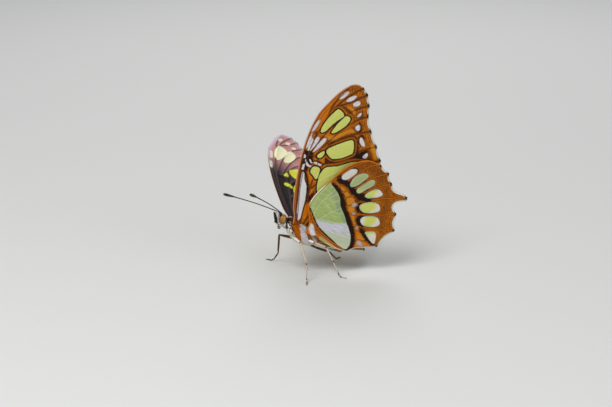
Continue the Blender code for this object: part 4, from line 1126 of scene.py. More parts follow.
class Underside:
    """The underside of one kind of wing, painted layer over layer."""

    def __init__(self, kind, settings):
        self.kind = kind
        self.settings = settings
        self.graph = graph = Graph(kind + "_underside")
        self.flat = graph.field("flat", "Vector")
        self.wobble = graph.wander(self.flat, 2.4, 0.3)
        self.margin = graph.field("margin")
        self.vein = graph.field("vein")
        self.forward = graph.part(self.flat, "X")
        self.out = graph.part(self.flat, "Y")
        self.shade = self.ground()

    def distance(self, name):
        return self.graph.plus(self.graph.field("under_" + name), self.wobble)

    def inside(self, name, edge=0.0, soft=0.1):
        return self.graph.below(self.distance(name), edge, soft)

    def grain(self, forward, out, scale, detail=3.0):
        """Noise that is drawn out along the body where forward is small, and along the wing where out is."""
        return self.graph.noise(self.graph.stretch(self.flat, (forward, out, 1.0)), scale, detail)

    def lay(self, share, shade, strength=1.0):
        """Paint a shade where the share is high."""
        self.shade = self.graph.tint(self.shade, shade, share, strength)

    def ground(self):
        """Brown with darker ripples that run along the outer margin."""
        graph, settings = self.graph, self.settings
        wander = graph.times(graph.noise(self.flat, 0.9, 3.0), 1.3)
        wave = graph.math("SINE", graph.times(graph.plus(self.margin, wander), 8.4))
        reach = graph.below(self.margin, 6.5, 2.5)
        broken = graph.between(graph.noise(self.flat, 1.5, 2.0), 0.3, 0.6)
        ripple = graph.times(graph.between(wave, -0.1, 0.8), reach, broken)
        broad = graph.between(graph.noise(self.flat, 0.45, 2.0), 0.35, 0.65)
        shade = graph.tint(settings.ground, settings.orange, broad, 0.55)
        streak = graph.between(self.grain(2.4, 0.45, 1.0), 0.52, 0.72)
        shade = graph.tint(shade, settings.deep, streak, 0.6)
        return graph.tint(shade, settings.deep, ripple, 0.75)

    def lay_bands(self):
        """Orange and tan bands, brown shadows and near-black patches."""
        graph, settings = self.graph, self.settings
        smoke = graph.between(self.grain(1.8, 0.7, 1.2), 0.5, 0.75)
        blaze = graph.tint(settings.orange, settings.ground, smoke, 0.55)
        self.lay(self.inside("orange", 0.0, 0.2), blaze)
        self.lay(self.inside("buff", 0.0, 0.2), settings.buff)
        self.lay(self.inside("shade", 0.1, 0.3), settings.deep, 0.85)
        self.lay(self.inside("haze", 0.5, 1.3), settings.deep, 0.5)
        if self.kind == "forewing":
            self.lay(graph.between(self.vein, 0.5, 0.18), settings.deep, 0.8)
        self.lay(self.inside("tan", 0.0, 0.35), settings.tan, 0.85)
        edge = graph.plus(self.distance("dark"), graph.wander(self.flat, 1.6, 1.2))
        self.lay(graph.below(edge, 0.36, 0.3), settings.deep, 0.8)
        self.lay(graph.below(edge, 0.06, 0.24), settings.dark)

    def lay_pale(self):
        """Small cream and lilac marks, each with a thin brown edge."""
        graph, settings = self.graph, self.settings
        pale = self.distance("pale")
        soft = 0.16 if self.kind == "forewing" else 0.4
        self.lay(graph.below(pale, 0.28, 0.14), settings.deep, 0.6)
        blush = graph.between(graph.noise(self.flat, 1.1, 2.0), 0.35, 0.65)
        mark = graph.mix(blush, settings.cream, settings.lilac)
        share = graph.below(pale, 0.04, soft)
        if self.kind == "hindwing":
            faint = graph.times(graph.between(self.forward, -10.0, -12.0), 0.5)
            share = graph.times(share, graph.math("SUBTRACT", 1.0, faint))
            mark = graph.mix(faint, mark, settings.cream)
        self.lay(share, mark, 0.92)
        stripe = self.distance("stripe")
        self.lay(graph.below(stripe, 0.26, 0.1), settings.dark)
        self.lay(graph.below(stripe, 0.03, 0.08), graph.mix(0.4, settings.lilac, settings.cream))

    def lay_patches(self):
        """Green patches: outlined on the forewing, dark at their inner ends only on the hindwing."""
        graph, settings = self.graph, self.settings
        green = self.distance("green")
        grain = self.grain(3.0, 0.8, 1.6)
        if self.kind == "forewing":
            self.lay(graph.below(green, 0.95, 0.25), settings.orange, 0.5)
            self.lay(graph.below(green, 0.42, 0.12), settings.dark)
            patch = graph.mix(graph.between(grain, 0.4, 0.7), settings.yellow, settings.green)
            self.lay(graph.below(green, 0.0, 0.08), patch)
            return
        inner = graph.between(self.margin, 5.2, 7.2)
        width = graph.plus(0.12, graph.times(inner, 0.3))
        edge = graph.mix(inner, settings.deep, settings.dark)
        self.lay(graph.below(graph.math("SUBTRACT", green, width), 0.0, 0.12), edge)
        slant = graph.plus(self.out, graph.times(self.forward, 0.5))
        grey = graph.mix(0.3, graph.mix(0.5, settings.field, settings.celadon), settings.buff)
        patch = graph.mix(graph.between(slant, 11.0, 12.2), settings.yellow, grey)
        patch = graph.tint(patch, settings.celadon, graph.between(green, -0.8, -0.15), 0.7)
        patch = graph.tint(patch, settings.green, graph.between(grain, 0.45, 0.7), 0.35)
        white = graph.mix(0.5, settings.lilac, settings.cream)
        patch = graph.tint(patch, white, self.inside("lilac", 0.1, 0.6), 0.8)
        self.lay(graph.below(green, 0.0, 0.14), patch)

    def lay_field(self):
        """The field beside the abdomen: green in front, lilac white behind, with rays and pale veins."""
        graph, settings = self.graph, self.settings
        field = self.distance("field")
        behind = graph.below(self.out, 8.0, 1.5)
        self.lay(graph.times(graph.below(field, 0.5, 0.15), behind), settings.dark)
        rays = graph.between(self.grain(0.35, 2.6, 1.0, 2.0), 0.4, 0.7)
        green = graph.tint(settings.field, settings.green, rays, 0.45)
        cool = graph.times(graph.between(field, -1.7, -0.4), graph.between(self.margin, 14.0, 9.0))
        green = graph.tint(green, settings.celadon, cool, 0.7)
        green = graph.tint(green, settings.slate, self.inside("smudge", 0.1, 0.4), 0.6)
        white = graph.tint(settings.lilac, settings.celadon, rays, 0.8)
        inside = graph.mix(self.inside("lilac", 0.0, 0.5), green, white)
        slant = graph.plus(self.out, graph.times(self.forward, 0.25))
        foot = graph.between(slant, 0.6, -1.6)
        inside = graph.mix(foot, inside, graph.mix(0.2, settings.celadon, settings.cream))
        inside = graph.tint(inside, settings.cream, graph.between(self.vein, 0.24, 0.08), 0.25)
        self.lay(graph.below(field, 0.0, 0.1), inside)

    def lay_lines(self):
        """Vein crests, the front edge and the outer margin."""
        graph, settings = self.graph, self.settings
        crest = graph.between(self.vein, 0.18, 0.07)
        front = graph.field("front")
        if self.kind == "forewing":
            away = graph.between(self.distance("green"), 0.1, 0.3)
            self.lay(graph.times(crest, away), settings.deep, 0.9)
            self.lay(graph.below(front, 0.55, 0.1), settings.deep, 0.7)
            second = graph.times(graph.between(front, 1.1, 1.25), graph.below(front, 1.45, 0.15))
            self.lay(graph.times(second, graph.between(self.out, 30.0, 33.0)), settings.deep, 0.6)
            self.lay(graph.below(front, 0.3, 0.08), settings.edge)
        else:
            off_marks = [graph.between(self.distance(mark), 0.0, 0.2) for mark in ("dark", "pale")]
            away = graph.times(graph.between(self.distance("field"), 0.0, 0.3), *off_marks)
            self.lay(graph.times(graph.between(self.vein, 0.45, 0.2), away), settings.deep, 0.75)
            self.lay(graph.times(crest, away), settings.orange, 0.8)
            edge = graph.mix(graph.between(self.out, 13.0, 16.5), settings.cream, settings.orange)
            edge = graph.mix(graph.between(self.out, 9.0, 7.0), edge, settings.orange)
            self.lay(graph.below(front, 0.42, 0.1), settings.deep, 0.8)
            self.lay(graph.below(front, 0.28, 0.08), edge)
            foot = graph.times(graph.below(graph.field("rim"), 0.22, 0.1), graph.below(self.out, 6.0, 1.0))
            self.lay(graph.times(foot, graph.between(self.forward, -10.0, -13.0)), settings.cream, 0.8)
        self.shade = add_rim(graph, settings, self.shade)


def under_material(kind, settings):
    side = Underside(kind, settings)
    side.lay_bands()
    if kind == "hindwing":
        side.lay_field()
    side.lay_pale()
    side.lay_patches()
    side.lay_lines()
    return add_scale_finish(side.graph, side.shade)


def add_rim(graph, settings, shade):
    """A dark line along the outer margin with white in each bay."""
    margin = graph.field("margin")
    shade = graph.mix(graph.below(margin, 0.36, 0.12), shade, settings.dark)
    bay = graph.times(graph.below(margin, 0.26, 0.06), graph.field("bay"))
    return graph.mix(bay, shade, settings.cream)


def upper_material(kind, settings):
    """Black brown with yellow-green windows; painted sheen and painted backlight near the forewing's tip."""
    graph = Graph(kind + "_upper_side")
    flat = graph.field("flat", "Vector")
    wobble = graph.wander(flat, 2.4, 0.3)
    out = graph.part(flat, "Y")
    # Painted sheen: the dark upper side turns pinkish brown towards the tip, in patches.
    tip_reach = (21.0, 33.0) if kind == "forewing" else (24.0, 40.0)
    tipward = graph.between(out, *tip_reach)
    sheen_patchiness = graph.plus(0.65, graph.times(graph.noise(flat, 0.5, 3.0), 0.5))
    shade = graph.tint(settings.upper, settings.upper_tip_sheen, graph.times(tipward, sheen_patchiness))
    shade = graph.tint(shade, settings.upper_vein, graph.between(graph.field("vein"), 0.4, 0.1), 0.8)
    if kind == "forewing":
        rim = graph.times(graph.between(graph.field("rim"), 1.5, 0.2), tipward)
        shade = graph.mix(rim, shade, settings.upper_rim)
    glow = graph.plus(graph.field("upper_glow"), wobble)
    # Near the forewing's tip the windows take the glow colour, a painted backlight; nearer the root they stay
    # yellow green.
    inner = graph.between(out, 31.0, 26.0) if kind == "forewing" else 1.0
    window = graph.mix(inner, settings.glow, settings.window)
    shade = graph.mix(graph.below(glow, 0.0, 0.16), shade, window)
    shade = graph.mix(graph.below(graph.field("upper_fold"), 0.2, 0.5), shade, settings.fold)
    pale = graph.plus(graph.field("upper_pale"), wobble)
    shade = graph.mix(graph.below(pale, 0.0, 0.2), shade, settings.cream)
    shade = add_rim(graph, settings, shade)
    return add_scale_finish(graph, shade)


def coat_material(name):
    """Hair and scales that carry their colour as an attribute, with finer streaks."""
    graph = Graph(name)
    streak = graph.noise(graph.place(), 9000.0, 2.0)
    marking = graph.field("marking", "Color")
    shade = graph.tint(marking, (0.0, 0.0, 0.0), graph.between(streak, 0.45, 0.8), 0.25)
    graph.bump(streak, 0.2, 0.00004)
    return graph.finish(shade, graph.between(streak, -1.6, 1.6))


def eye_material(settings):
    """Amber over olive with darker upright bands, and a fine net of facets."""
    graph = Graph("eye_facets")
    place = graph.place()
    across = graph.plus(graph.times(graph.field("across"), 5.2), graph.wander(place, 700.0, 1.1, 1.0))
    bands = graph.math("SINE", across)
    facets = graph.cells(place, 9000.0)
    shade = graph.mix(graph.between(graph.field("high"), 0.3, -0.7), settings.eye, settings.eye_low)
    shade = graph.tint(shade, settings.eye_band, graph.between(bands, 0.35, 0.9), 0.7)
    shade = graph.mix(graph.between(graph.field("edge"), 0.62, 1.0), shade, settings.eye_band)
    shade = graph.tint(shade, settings.eye_band, graph.between(facets, 0.3, 0.6), 0.25)
    graph.bump(facets, 0.35, 0.00003)
    graph.shader.inputs["Coat Weight"].default_value = 0.35
    graph.shader.inputs["Coat Roughness"].default_value = 0.2
    return graph.finish(shade, graph.between(facets, -0.6, 1.6), 0.4)


def ringed_material(name, ground, second, ring):
    """A horn surface with rings of paler scales along its own length."""
    graph = Graph(name)
    rings = graph.math("FRACT", graph.math("DIVIDE", graph.field("along"), ring))
    grain = graph.noise(graph.place(), 7000.0, 2.0)
    share = graph.times(graph.between(rings, 0.6, 0.9), graph.between(grain, 0.3, 0.6))
    shade = graph.mix(share, ground, second)
    graph.bump(grain, 0.3, 0.00005)
    return graph.finish(shade, graph.between(grain, -0.8, 1.6))


# Pieces.

def nearest_knots(places, knots):
    return np.array([np.argmin(np.linalg.norm(knots[:, :3] - place, axis=1)) for place in places])


def add_line_tube(name, knots, roundness, material):
    """A round tube along knots of x, y, z and radius in metres, closed at its ends."""
    curve = bpy.data.curves.new(name, "CURVE")
    curve.dimensions = "3D"
    curve.bevel_depth = 1.0
    curve.bevel_resolution = roundness
    curve.use_fill_caps = True
    spline = curve.splines.new("POLY")
    spline.points.add(len(knots) - 1)
    for point, knot in zip(spline.points, knots):
        point.co = (*knot[:3], 1.0)
        point.radius = knot[3]
    obj = link_mesh(name, curve)
    activate(obj)
    bpy.ops.object.convert(target="MESH")
    obj = bpy.context.view_layer.objects.active
    bpy.ops.object.mode_set(mode="EDIT")
    bpy.ops.mesh.select_all(action="SELECT")
    bpy.ops.mesh.remove_doubles(threshold=1e-6)
    bpy.ops.mesh.normals_make_consistent(inside=False)
    bpy.ops.object.mode_set(mode="OBJECT")
    obj.data.materials.clear()
    obj.data.materials.append(material)
    obj.data.shade_smooth()
    runs = np.concatenate(([0.0], np.cumsum(np.linalg.norm(np.diff(knots[:, :3], axis=0), axis=1))))
    set_field(obj.data, "along", runs[nearest_knots(vertex_places(obj.data), knots)] / MM)
    return obj


def body_knots(line):
    """Frame knots of x, y, z and radius in metres, from body points with radii in millimetres."""
    line = np.asarray(line)
    return np.column_stack((from_body(line[:, :3]), line[:, 3] * MM))


def join_pieces(name, objects):
    bpy.ops.object.select_all(action="DESELECT")
    for obj in objects:
        obj.select_set(True)
    bpy.context.view_layer.objects.active = objects[0]
    bpy.ops.object.join()
    joined = bpy.context.view_layer.objects.active
    joined.name = name
    joined.data.name = name
    return joined


def add_ball(name, shape, side=1, shrink=0.0, rings=24, tilt=0.0):
    """A UV sphere of the shape's half sizes, turned with the body, its front lifted by the tilt."""
    centre, halves = shape
    place = from_body((centre[0], centre[1] * side, centre[2]))[0]
    bpy.ops.object.select_all(action="DESELECT")
    bpy.ops.mesh.primitive_uv_sphere_add(segments=2 * rings, ring_count=rings, radius=1.0, location=place)
    ball = bpy.context.view_layer.objects.active
    ball.name = name
    ball.rotation_euler = (body_turn() @ Euler((-tilt, 0.0, 0.0)).to_matrix()).to_euler()
    ball.scale = [(half - shrink) * MM for half in (halves[1], halves[0], halves[2])]
    bpy.ops.object.transform_apply(location=True, rotation=True, scale=True)
    return ball


def abdomen_radius(share):
    """The abdomen's radius at a share of its length from the front, with a groove between segments."""
    swell = math.sin(math.pi * (0.12 + 0.88 * share) ** 0.85) ** 0.62
    groove = SEGMENT_GROOVE * (0.5 + 0.5 * math.cos(2 * math.pi * ABDOMEN_SEGMENTS * share)) ** 3
    return ABDOMEN_RADIUS * swell - groove * swell


def add_abdomen_form(shrink):
    """The abdomen turned about its axis, with ringed segments, laid along the body."""
    steps = 12 * ABDOMEN_SEGMENTS
    half = ABDOMEN_LENGTH / 2
    shares = [index / steps for index in range(1, steps)]
    profile = [(max(abdomen_radius(share) - shrink, 0.02), half * (1 - 2 * share)) for share in shares]
    turns = 40
    level, steep = math.cos(ABDOMEN_TILT), math.sin(ABDOMEN_TILT)
    spots = []
    for radius, along in profile:
        for turn in range(turns):
            angle = math.tau * turn / turns
            forward = along * level + radius * math.cos(angle) * steep
            up = -along * steep + radius * math.cos(angle) * level
            spots.append((ABDOMEN_AT[0] + forward, radius * math.sin(angle), ABDOMEN_AT[2] + up))
    mesh = bpy.data.meshes.new("abdomen_form")
    last = (len(profile) - 1) * turns
    faces = []
    for start in range(0, last, turns):
        for turn in range(turns):
            beside = (turn + 1) % turns
            faces.append((start + turn, start + beside, start + turns + beside, start + turns + turn))
    faces.append(tuple(range(turns - 1, -1, -1)))
    faces.append(tuple(range(last, last + turns)))
    mesh.from_pydata(from_body(spots).tolist(), [], faces)
    return link_mesh("abdomen_form", mesh)


def add_skin(settings):
    """One skin over head, thorax and abdomen, joined by a voxel remesh and smoothed."""
    parts = [add_ball("thorax_form", THORAX, shrink=COAT_DEPTH, tilt=THORAX_TILT),
             add_ball("collar_form", COLLAR, shrink=COAT_DEPTH),
             add_ball("head_form", HEAD, shrink=COAT_DEPTH),
             add_abdomen_form(COAT_DEPTH)]
    skin = join_pieces("body_skin", parts)
    remesh = skin.modifiers.new("one_skin", "REMESH")
    remesh.mode = "VOXEL"
    remesh.voxel_size = settings.voxel
    smooth = skin.modifiers.new("softened", "SMOOTH")
    smooth.factor = 0.5
    smooth.iterations = 4
    apply_modifiers(skin)
    skin.data.shade_smooth()
    set_marking(skin.data, body_markings(to_body(vertex_places(skin.data)), settings))
    skin.data.materials.clear()
    skin.data.materials.append(coat_material("body_down"))
    return finish_piece(skin, "body", "head", "thorax", "abdomen")


def lie_direction(body, normals):
    """The way hair lies: back along the body and down its sides, close to the skin."""
    count = len(body)
    back = np.column_stack((-np.ones(count), 0.35 * np.sign(body[:, 1]), -0.25 * np.ones(count)))
    back[body[:, 0] > FACE_FROM] = (0.75, 0.0, 0.65)
    return unit_rows(without_part_along(body_heading(back), normals))


def add_coat(name, skin, settings, count, region, length, lift, draw, material):
    """Tufts over one region of the skin, with the skin's own markings."""
    roots, normals = skin_samples(skin.data, count, region, draw)
    body = to_body(roots)
    lie = lie_direction(body, normals) + normals * lift
    lie += draw.normal(0.0, 0.14, lie.shape)
    colours = varied(body_markings(body, settings), 0.8, 0.4, draw)
    lengths = length(body) * (0.7 + 0.6 * draw.random(count)) * MM
    widths = np.clip(lengths * 0.16, 0.05 * MM, 0.13 * MM)
    coat = add_tufts(name, roots, lie, normals, lengths, widths, unwrap(roots), colours, material)
    return finish_piece(coat, "body")


def in_range(body, low, high):
    """1 for what lies between two places along the body, 0 elsewhere."""
    return ((body[:, 0] > low) & (body[:, 0] <= high)).astype(float)


def thorax_region(body):
    return in_range(body, -8.6, 1.6)


def head_region(body):
    eye = np.hypot((body[:, 0] - EYE[0][0]) / 1.25, (body[:, 2] - EYE[0][2]) / 1.35)
    return in_range(body, 1.4, 5.0) * np.where((eye < 1.0) & (np.abs(body[:, 1]) > 0.7), 0.0, 1.0)


def abdomen_region(body):
    return in_range(body, -21.0, -8.0)


def thorax_length(body):
    return np.where(body[:, 2] > -0.4, 1.7, np.where(body[:, 2] < -3.6, 1.2, 0.85))


def head_length(body):
    face = (body[:, 0] > FACE_FROM) & (body[:, 2] > -1.2)
    return np.where(face, 1.0, np.where(body[:, 2] < -1.2, 0.8, 0.6))


def abdomen_length(body):
    return np.full(len(body), 0.6)


class BUTTERFLY_OT_wings(bpy.types.Operator):
    """Build the four wings with raised veins and the markings of both sides"""
    bl_idname = "butterfly.wings"
    bl_label = "Wings"

    def execute(self, context):
        settings = context.scene.butterfly_wings
        for kind in WINGS:
            materials = [upper_material(kind, settings), under_material(kind, settings)]
            for side_name in SIDES:
                add_wing(kind, side_name, settings, materials)
        return {"FINISHED"}


class BUTTERFLY_OT_body(bpy.types.Operator):
    """Build one skin over head, thorax and abdomen, and lay its hair"""
    bl_idname = "butterfly.body"
    bl_label = "Body and hair"

    def execute(self, context):
        settings = context.scene.butterfly_body
        draw = np.random.default_rng(settings.seed)
        skin = add_skin(settings)
        material = coat_material("body_hair")
        coats = (("thorax_hair", settings.thorax_hairs, thorax_region, thorax_length, 0.3),
                 ("head_hair", settings.head_hairs, head_region, head_length, 0.5),
                 ("abdomen_scales", settings.abdomen_hairs, abdomen_region, abdomen_length, 0.12))
        for name, count, region, length, lift in coats:
            add_coat(name, skin, settings, count, region, length, lift, draw, material)
        return {"FINISHED"}


class BUTTERFLY_OT_eyes(bpy.types.Operator):
    """Set the two banded eyes"""
    bl_idname = "butterfly.eyes"
    bl_label = "Eyes"

    def execute(self, context):
        material = eye_material(context.scene.butterfly_body)
        for side_name, side in SIDES.items():
            eye = add_ball("eyeball_" + side_name, EYE, side, rings=32)
            eye.data.materials.append(material)
            eye.data.shade_smooth()
            spots = to_body(vertex_places(eye.data)) - np.array(EYE[0])
            set_field(eye.data, "across", spots[:, 0])
            set_field(eye.data, "high", spots[:, 2])
            set_field(eye.data, "edge", np.hypot(spots[:, 0] / EYE[1][0], spots[:, 2] / EYE[1][2]))
            finish_piece(eye, "eyes", "eye_" + side_name)
        return {"FINISHED"}


class BUTTERFLY_OT_feelers(bpy.types.Operator):
    """Build the ringed feelers with their clubs"""
    bl_idname = "butterfly.feelers"
    bl_label = "Feelers"

    def execute(self, context):
        settings = context.scene.butterfly_limbs
        material = ringed_material("feeler_rings", settings.feeler, settings.feeler_scale, ANTENNA_RING)
        for side_name in SIDES:
            knots = body_knots(smooth_line(ANTENNA[side_name], ANTENNA_RING / 4))
            knots[:, 3] *= 1.0 + 0.12 * np.cos(np.arange(len(knots)) * math.tau / 4)
            feeler = add_line_tube("feeler_" + side_name, knots, 3, material)
            finish_piece(feeler, "feelers", "antenna_" + side_name)
        return {"FINISHED"}


class BUTTERFLY_OT_mouthparts(bpy.types.Operator):
    """Build the two palps with their scales and the coiled tongue"""
    bl_idname = "butterfly.mouthparts"
    bl_label = "Palps and tongue"

    def execute(self, context):
        settings = context.scene.butterfly_body
        limbs = context.scene.butterfly_limbs
        draw = np.random.default_rng(settings.seed + 1)
        core = ringed_material("palp_skin", settings.dark, settings.white, 0.4)
        hair = coat_material("palp_scales")
        for side_name, side in SIDES.items():
            points = [(forward, left * side, up, radius * 0.6) for forward, left, up, radius in PALP]
            line = smooth_line(points, 0.12)
            palp = add_line_tube("palp_core_" + side_name, body_knots(line), 4, core)
            self.add_scales(palp, side_name, line, settings, draw, hair)
            finish_piece(palp, "palps", "palp_" + side_name)
        self.add_tongue(limbs)
        return {"FINISHED"}

    def add_scales(self, palp, side_name, line, settings, draw, hair):
        """Dark scales that point along the palp, and long silver hair behind, white towards the tip."""
        roots, normals = skin_samples(palp.data, PALP_HAIRS, lambda body: np.ones(len(body)), draw)
        body = to_body(roots)
        nearest = np.argmin(np.linalg.norm(line[None, :, :3] - body[:, None, :], axis=2), axis=1)
        lie = unit_rows(body_heading(np.gradient(line[:, :3], axis=0)[nearest]))
        offset = body - line[nearest, :3]
        rear = offset[:, 0] < -0.02
        lie[rear] += 1.2 * body_heading((-1.0, 0.0, 0.35)) / MM
        lie += normals * 0.35 + draw.normal(0.0, 0.12, lie.shape)
        white = np.array(settings.white)
        silver = 0.55 * white + 0.2 * np.array(settings.cream)
        shades = np.where(rear[:, None], np.where(body[:, 2:] > -0.6, white, silver), np.array(settings.dark))
        shades = varied(shades, 0.75, 0.4, draw)
        lengths = np.where(rear, 0.75, 0.34) * (1.0 + 0.6 * draw.random(PALP_HAIRS)) * MM
        scales = add_tufts("palp_hair_" + side_name, roots, lie, normals, lengths, SCALE_WIDTH * MM,
                           unwrap(roots), shades, hair)
        finish_piece(scales, "palps")

    def add_tongue(self, limbs):
        """A tongue coiled like a watch spring, thinner towards its end."""
        forward, _, up = PROBOSCIS_CENTRE
        steps = 90
        points = [(*PROBOSCIS_ROOT, PROBOSCIS_RADIUS)]
        for index in range(steps + 1):
            share = index / steps
            angle = math.radians(50.0) - share * PROBOSCIS_TURNS * math.tau
            radius = PROBOSCIS_OUTER + (PROBOSCIS_INNER - PROBOSCIS_OUTER) * share
            thick = PROBOSCIS_RADIUS * (1.0 - 0.45 * share)
            points.append((forward + radius * math.cos(angle), 0.0, up + radius * math.sin(angle), thick))
        material = ringed_material("tongue_rings", limbs.feeler, limbs.leg_dark, 0.18)
        tongue = add_line_tube("tongue", body_knots(points), 3, material)
        finish_piece(tongue, "feelers", "proboscis")


class BUTTERFLY_OT_legs(bpy.types.Operator):
    """Build the walking legs and the folded front legs, with joints, spines and claws"""
    bl_idname = "butterfly.legs"
    bl_label = "Legs"

    def execute(self, context):
        settings = context.scene.butterfly_limbs
        draw = np.random.default_rng(SPINE_SEED)
        material = self.leg_material(settings)
        spine = self.spine_material(settings)
        for name, points in LEGS.items():
            knots = self.leg_knots(points)
            leg = add_line_tube(name + "_scaled", knots, 4, material)
            side = SIDES[name.split("_")[1]]
            joints = from_floor(points)
            limbs = np.linalg.norm(np.diff(joints, axis=0), axis=1)
            self.set_leg_fields(leg, knots, joints, side, limbs[0] / limbs.sum())
            spines = self.add_spines(name, knots, settings, draw, spine)
            claws = self.add_claws(name, knots, spine)
            leg = join_pieces(name + "_scaled", [leg, spines] + claws)
            finish_piece(leg, "legs", name)
        for side_name, side in SIDES.items():
            points = [(forward, left * side, up, radius * 0.85) for forward, left, up, radius in FORELEG]
            knots = body_knots(smooth_line(points, 0.15))
            leg = add_line_tube("foreleg_" + side_name + "_scaled", knots, 4, material)
            joints = from_body([point[:3] for point in points])
            self.set_leg_fields(leg, knots, joints, side, 1.0)
            finish_piece(leg, "legs", "foreleg_" + side_name)
        return {"FINISHED"}

    def leg_material(self, settings):
        """Pale outer side; brown inner side, partly scale colour and partly painted shade; brown joints,
        cream thighs.
        """
        graph = Graph("leg_scales")
        place = graph.place()
        grain = graph.noise(place, 2600.0, 3.0)
        pale = graph.mix(graph.field("thigh"), settings.leg, settings.thigh)
        speckle = graph.times(graph.math("SUBTRACT", grain, 0.5), 0.7)
        inner = graph.plus(graph.field("outer"), speckle)
        # The inner side's brown is partly the scales' colour and partly painted shade under the body.
        shade = graph.mix(graph.between(inner, 0.25, -0.35), pale, settings.leg_dark)
        shade = graph.mix(graph.between(graph.field("joint"), 0.34, 0.16), shade, settings.leg_dark)
        shade = graph.tint(shade, settings.leg_dark, graph.between(grain, 0.55, 0.8), 0.4)
        scales = graph.cells(place, 8000.0)
        graph.bump(scales, 0.4, 0.00004)
        return graph.finish(shade, graph.between(scales, -0.9, 1.4), 0.2)

    def set_leg_fields(self, leg, knots, joints, side, thigh_share):
        """Store which side of the leg is outer, how near the next joint is, and where the thigh ends."""
        spots, normals = vertex_places(leg.data), vertex_normals(leg.data)
        set_field(leg.data, "outer", side * normals[:, 0] - 0.35 * normals[:, 2])
        gaps = [np.linalg.norm(spots - joint, axis=1) for joint in joints[1:-1]]
        set_field(leg.data, "joint", np.min(gaps, axis=0) / MM - 0.1)
        along = nearest_knots(spots, knots) / len(knots)
        set_field(leg.data, "thigh", (along < thigh_share).astype(float))

    def spine_material(self, settings):
        graph = Graph("leg_spines")
        grain = graph.noise(graph.place(), 5000.0, 2.0)
        shade = graph.tint(settings.leg_dark, settings.feeler, grain, 0.6)
        graph.bump(grain, 0.2, 0.00003)
        return graph.finish(shade, graph.between(grain, -0.6, 1.8))

    def leg_knots(self, points):
        """Nearly straight limbs between the joints, thicker in the femur, with a ringed foot."""
        joints = np.array(points, dtype=float)
        knots = []
        for number, (start, end) in enumerate(zip(joints[:-1], joints[1:])):
            count = max(4, round(float(np.linalg.norm(end[:3] - start[:3])) / LEG_STEP))
            for part in range(count):
                t = part / count
                place = start + (end - start) * t
                swell = LEG_SWELL * math.sin(math.pi * t) if number < 2 else 0.0
                waist = -LEG_WAIST * max(0.0, 1.0 - min(t, 1.0 - t) * 9.0) if number > 0 else 0.0
                ring = LEG_RING * math.cos(math.tau * t * 4) if number >= 3 else 0.0
                place[3] *= 1.0 + swell + waist + ring
                knots.append(place)
        knots.append(joints[-1])
        knots = np.array(knots)
        knots[:, 2] = np.maximum(knots[:, 2], knots[:, 3])
        return np.column_stack((from_floor(knots), knots[:, 3] * MM))

    def add_spines(self, name, knots, settings, draw, material):
        """Short spines along the shin and foot, pointing down the leg."""
        picks = draw.integers(len(knots) // 3, len(knots) - 1, SPINES)
        heading = unit_rows(np.gradient(knots[:, :3], axis=0)[picks])
        away = unit_rows(without_part_along(draw.normal(0.0, 1.0, heading.shape), heading))
        roots = knots[picks, :3] + away * knots[picks, 3][:, None] * 0.8
        keep = roots[:, 2] > 0.35 * MM
        roots, heading, away = roots[keep], heading[keep], away[keep]
        lengths = np.full(len(roots), settings.spine) * (0.6 + 0.5 * draw.random(len(roots)))
        shades = np.tile(np.array(settings.leg_dark), (len(roots), 1))
        return add_tufts(name + "_spines", roots, heading + away * 0.6, away, lengths, SPINE_WIDTH * MM,
                         unwrap(roots), shades, material, bend=0.0)

    def add_claws(self, name, knots, material):
        """Two small hooked claws at the foot's end."""
        toe = knots[-1, :3]
        ahead = knots[-1, :3] - knots[-3, :3]
        ahead /= np.linalg.norm(ahead)
        across = np.array((-ahead[1], ahead[0], 0.0))
        claws = []
        for number, turn in enumerate((1, -1)):
            path = [toe - ahead * 0.1 * MM, toe + (ahead * 0.2 + across * turn * 0.12) * MM,
                    toe + (ahead * 0.42 + across * turn * 0.2) * MM]
            path[2][2] = 0.07 * MM
            widths = (0.08 * MM, 0.07 * MM, 0.02 * MM)
            points = [(*place, width) for place, width in zip(path, widths)]
            claws.append(add_line_tube(f"{name}_claw_{number}", smooth_line(points, 0.05 * MM), 2, material))
        return claws


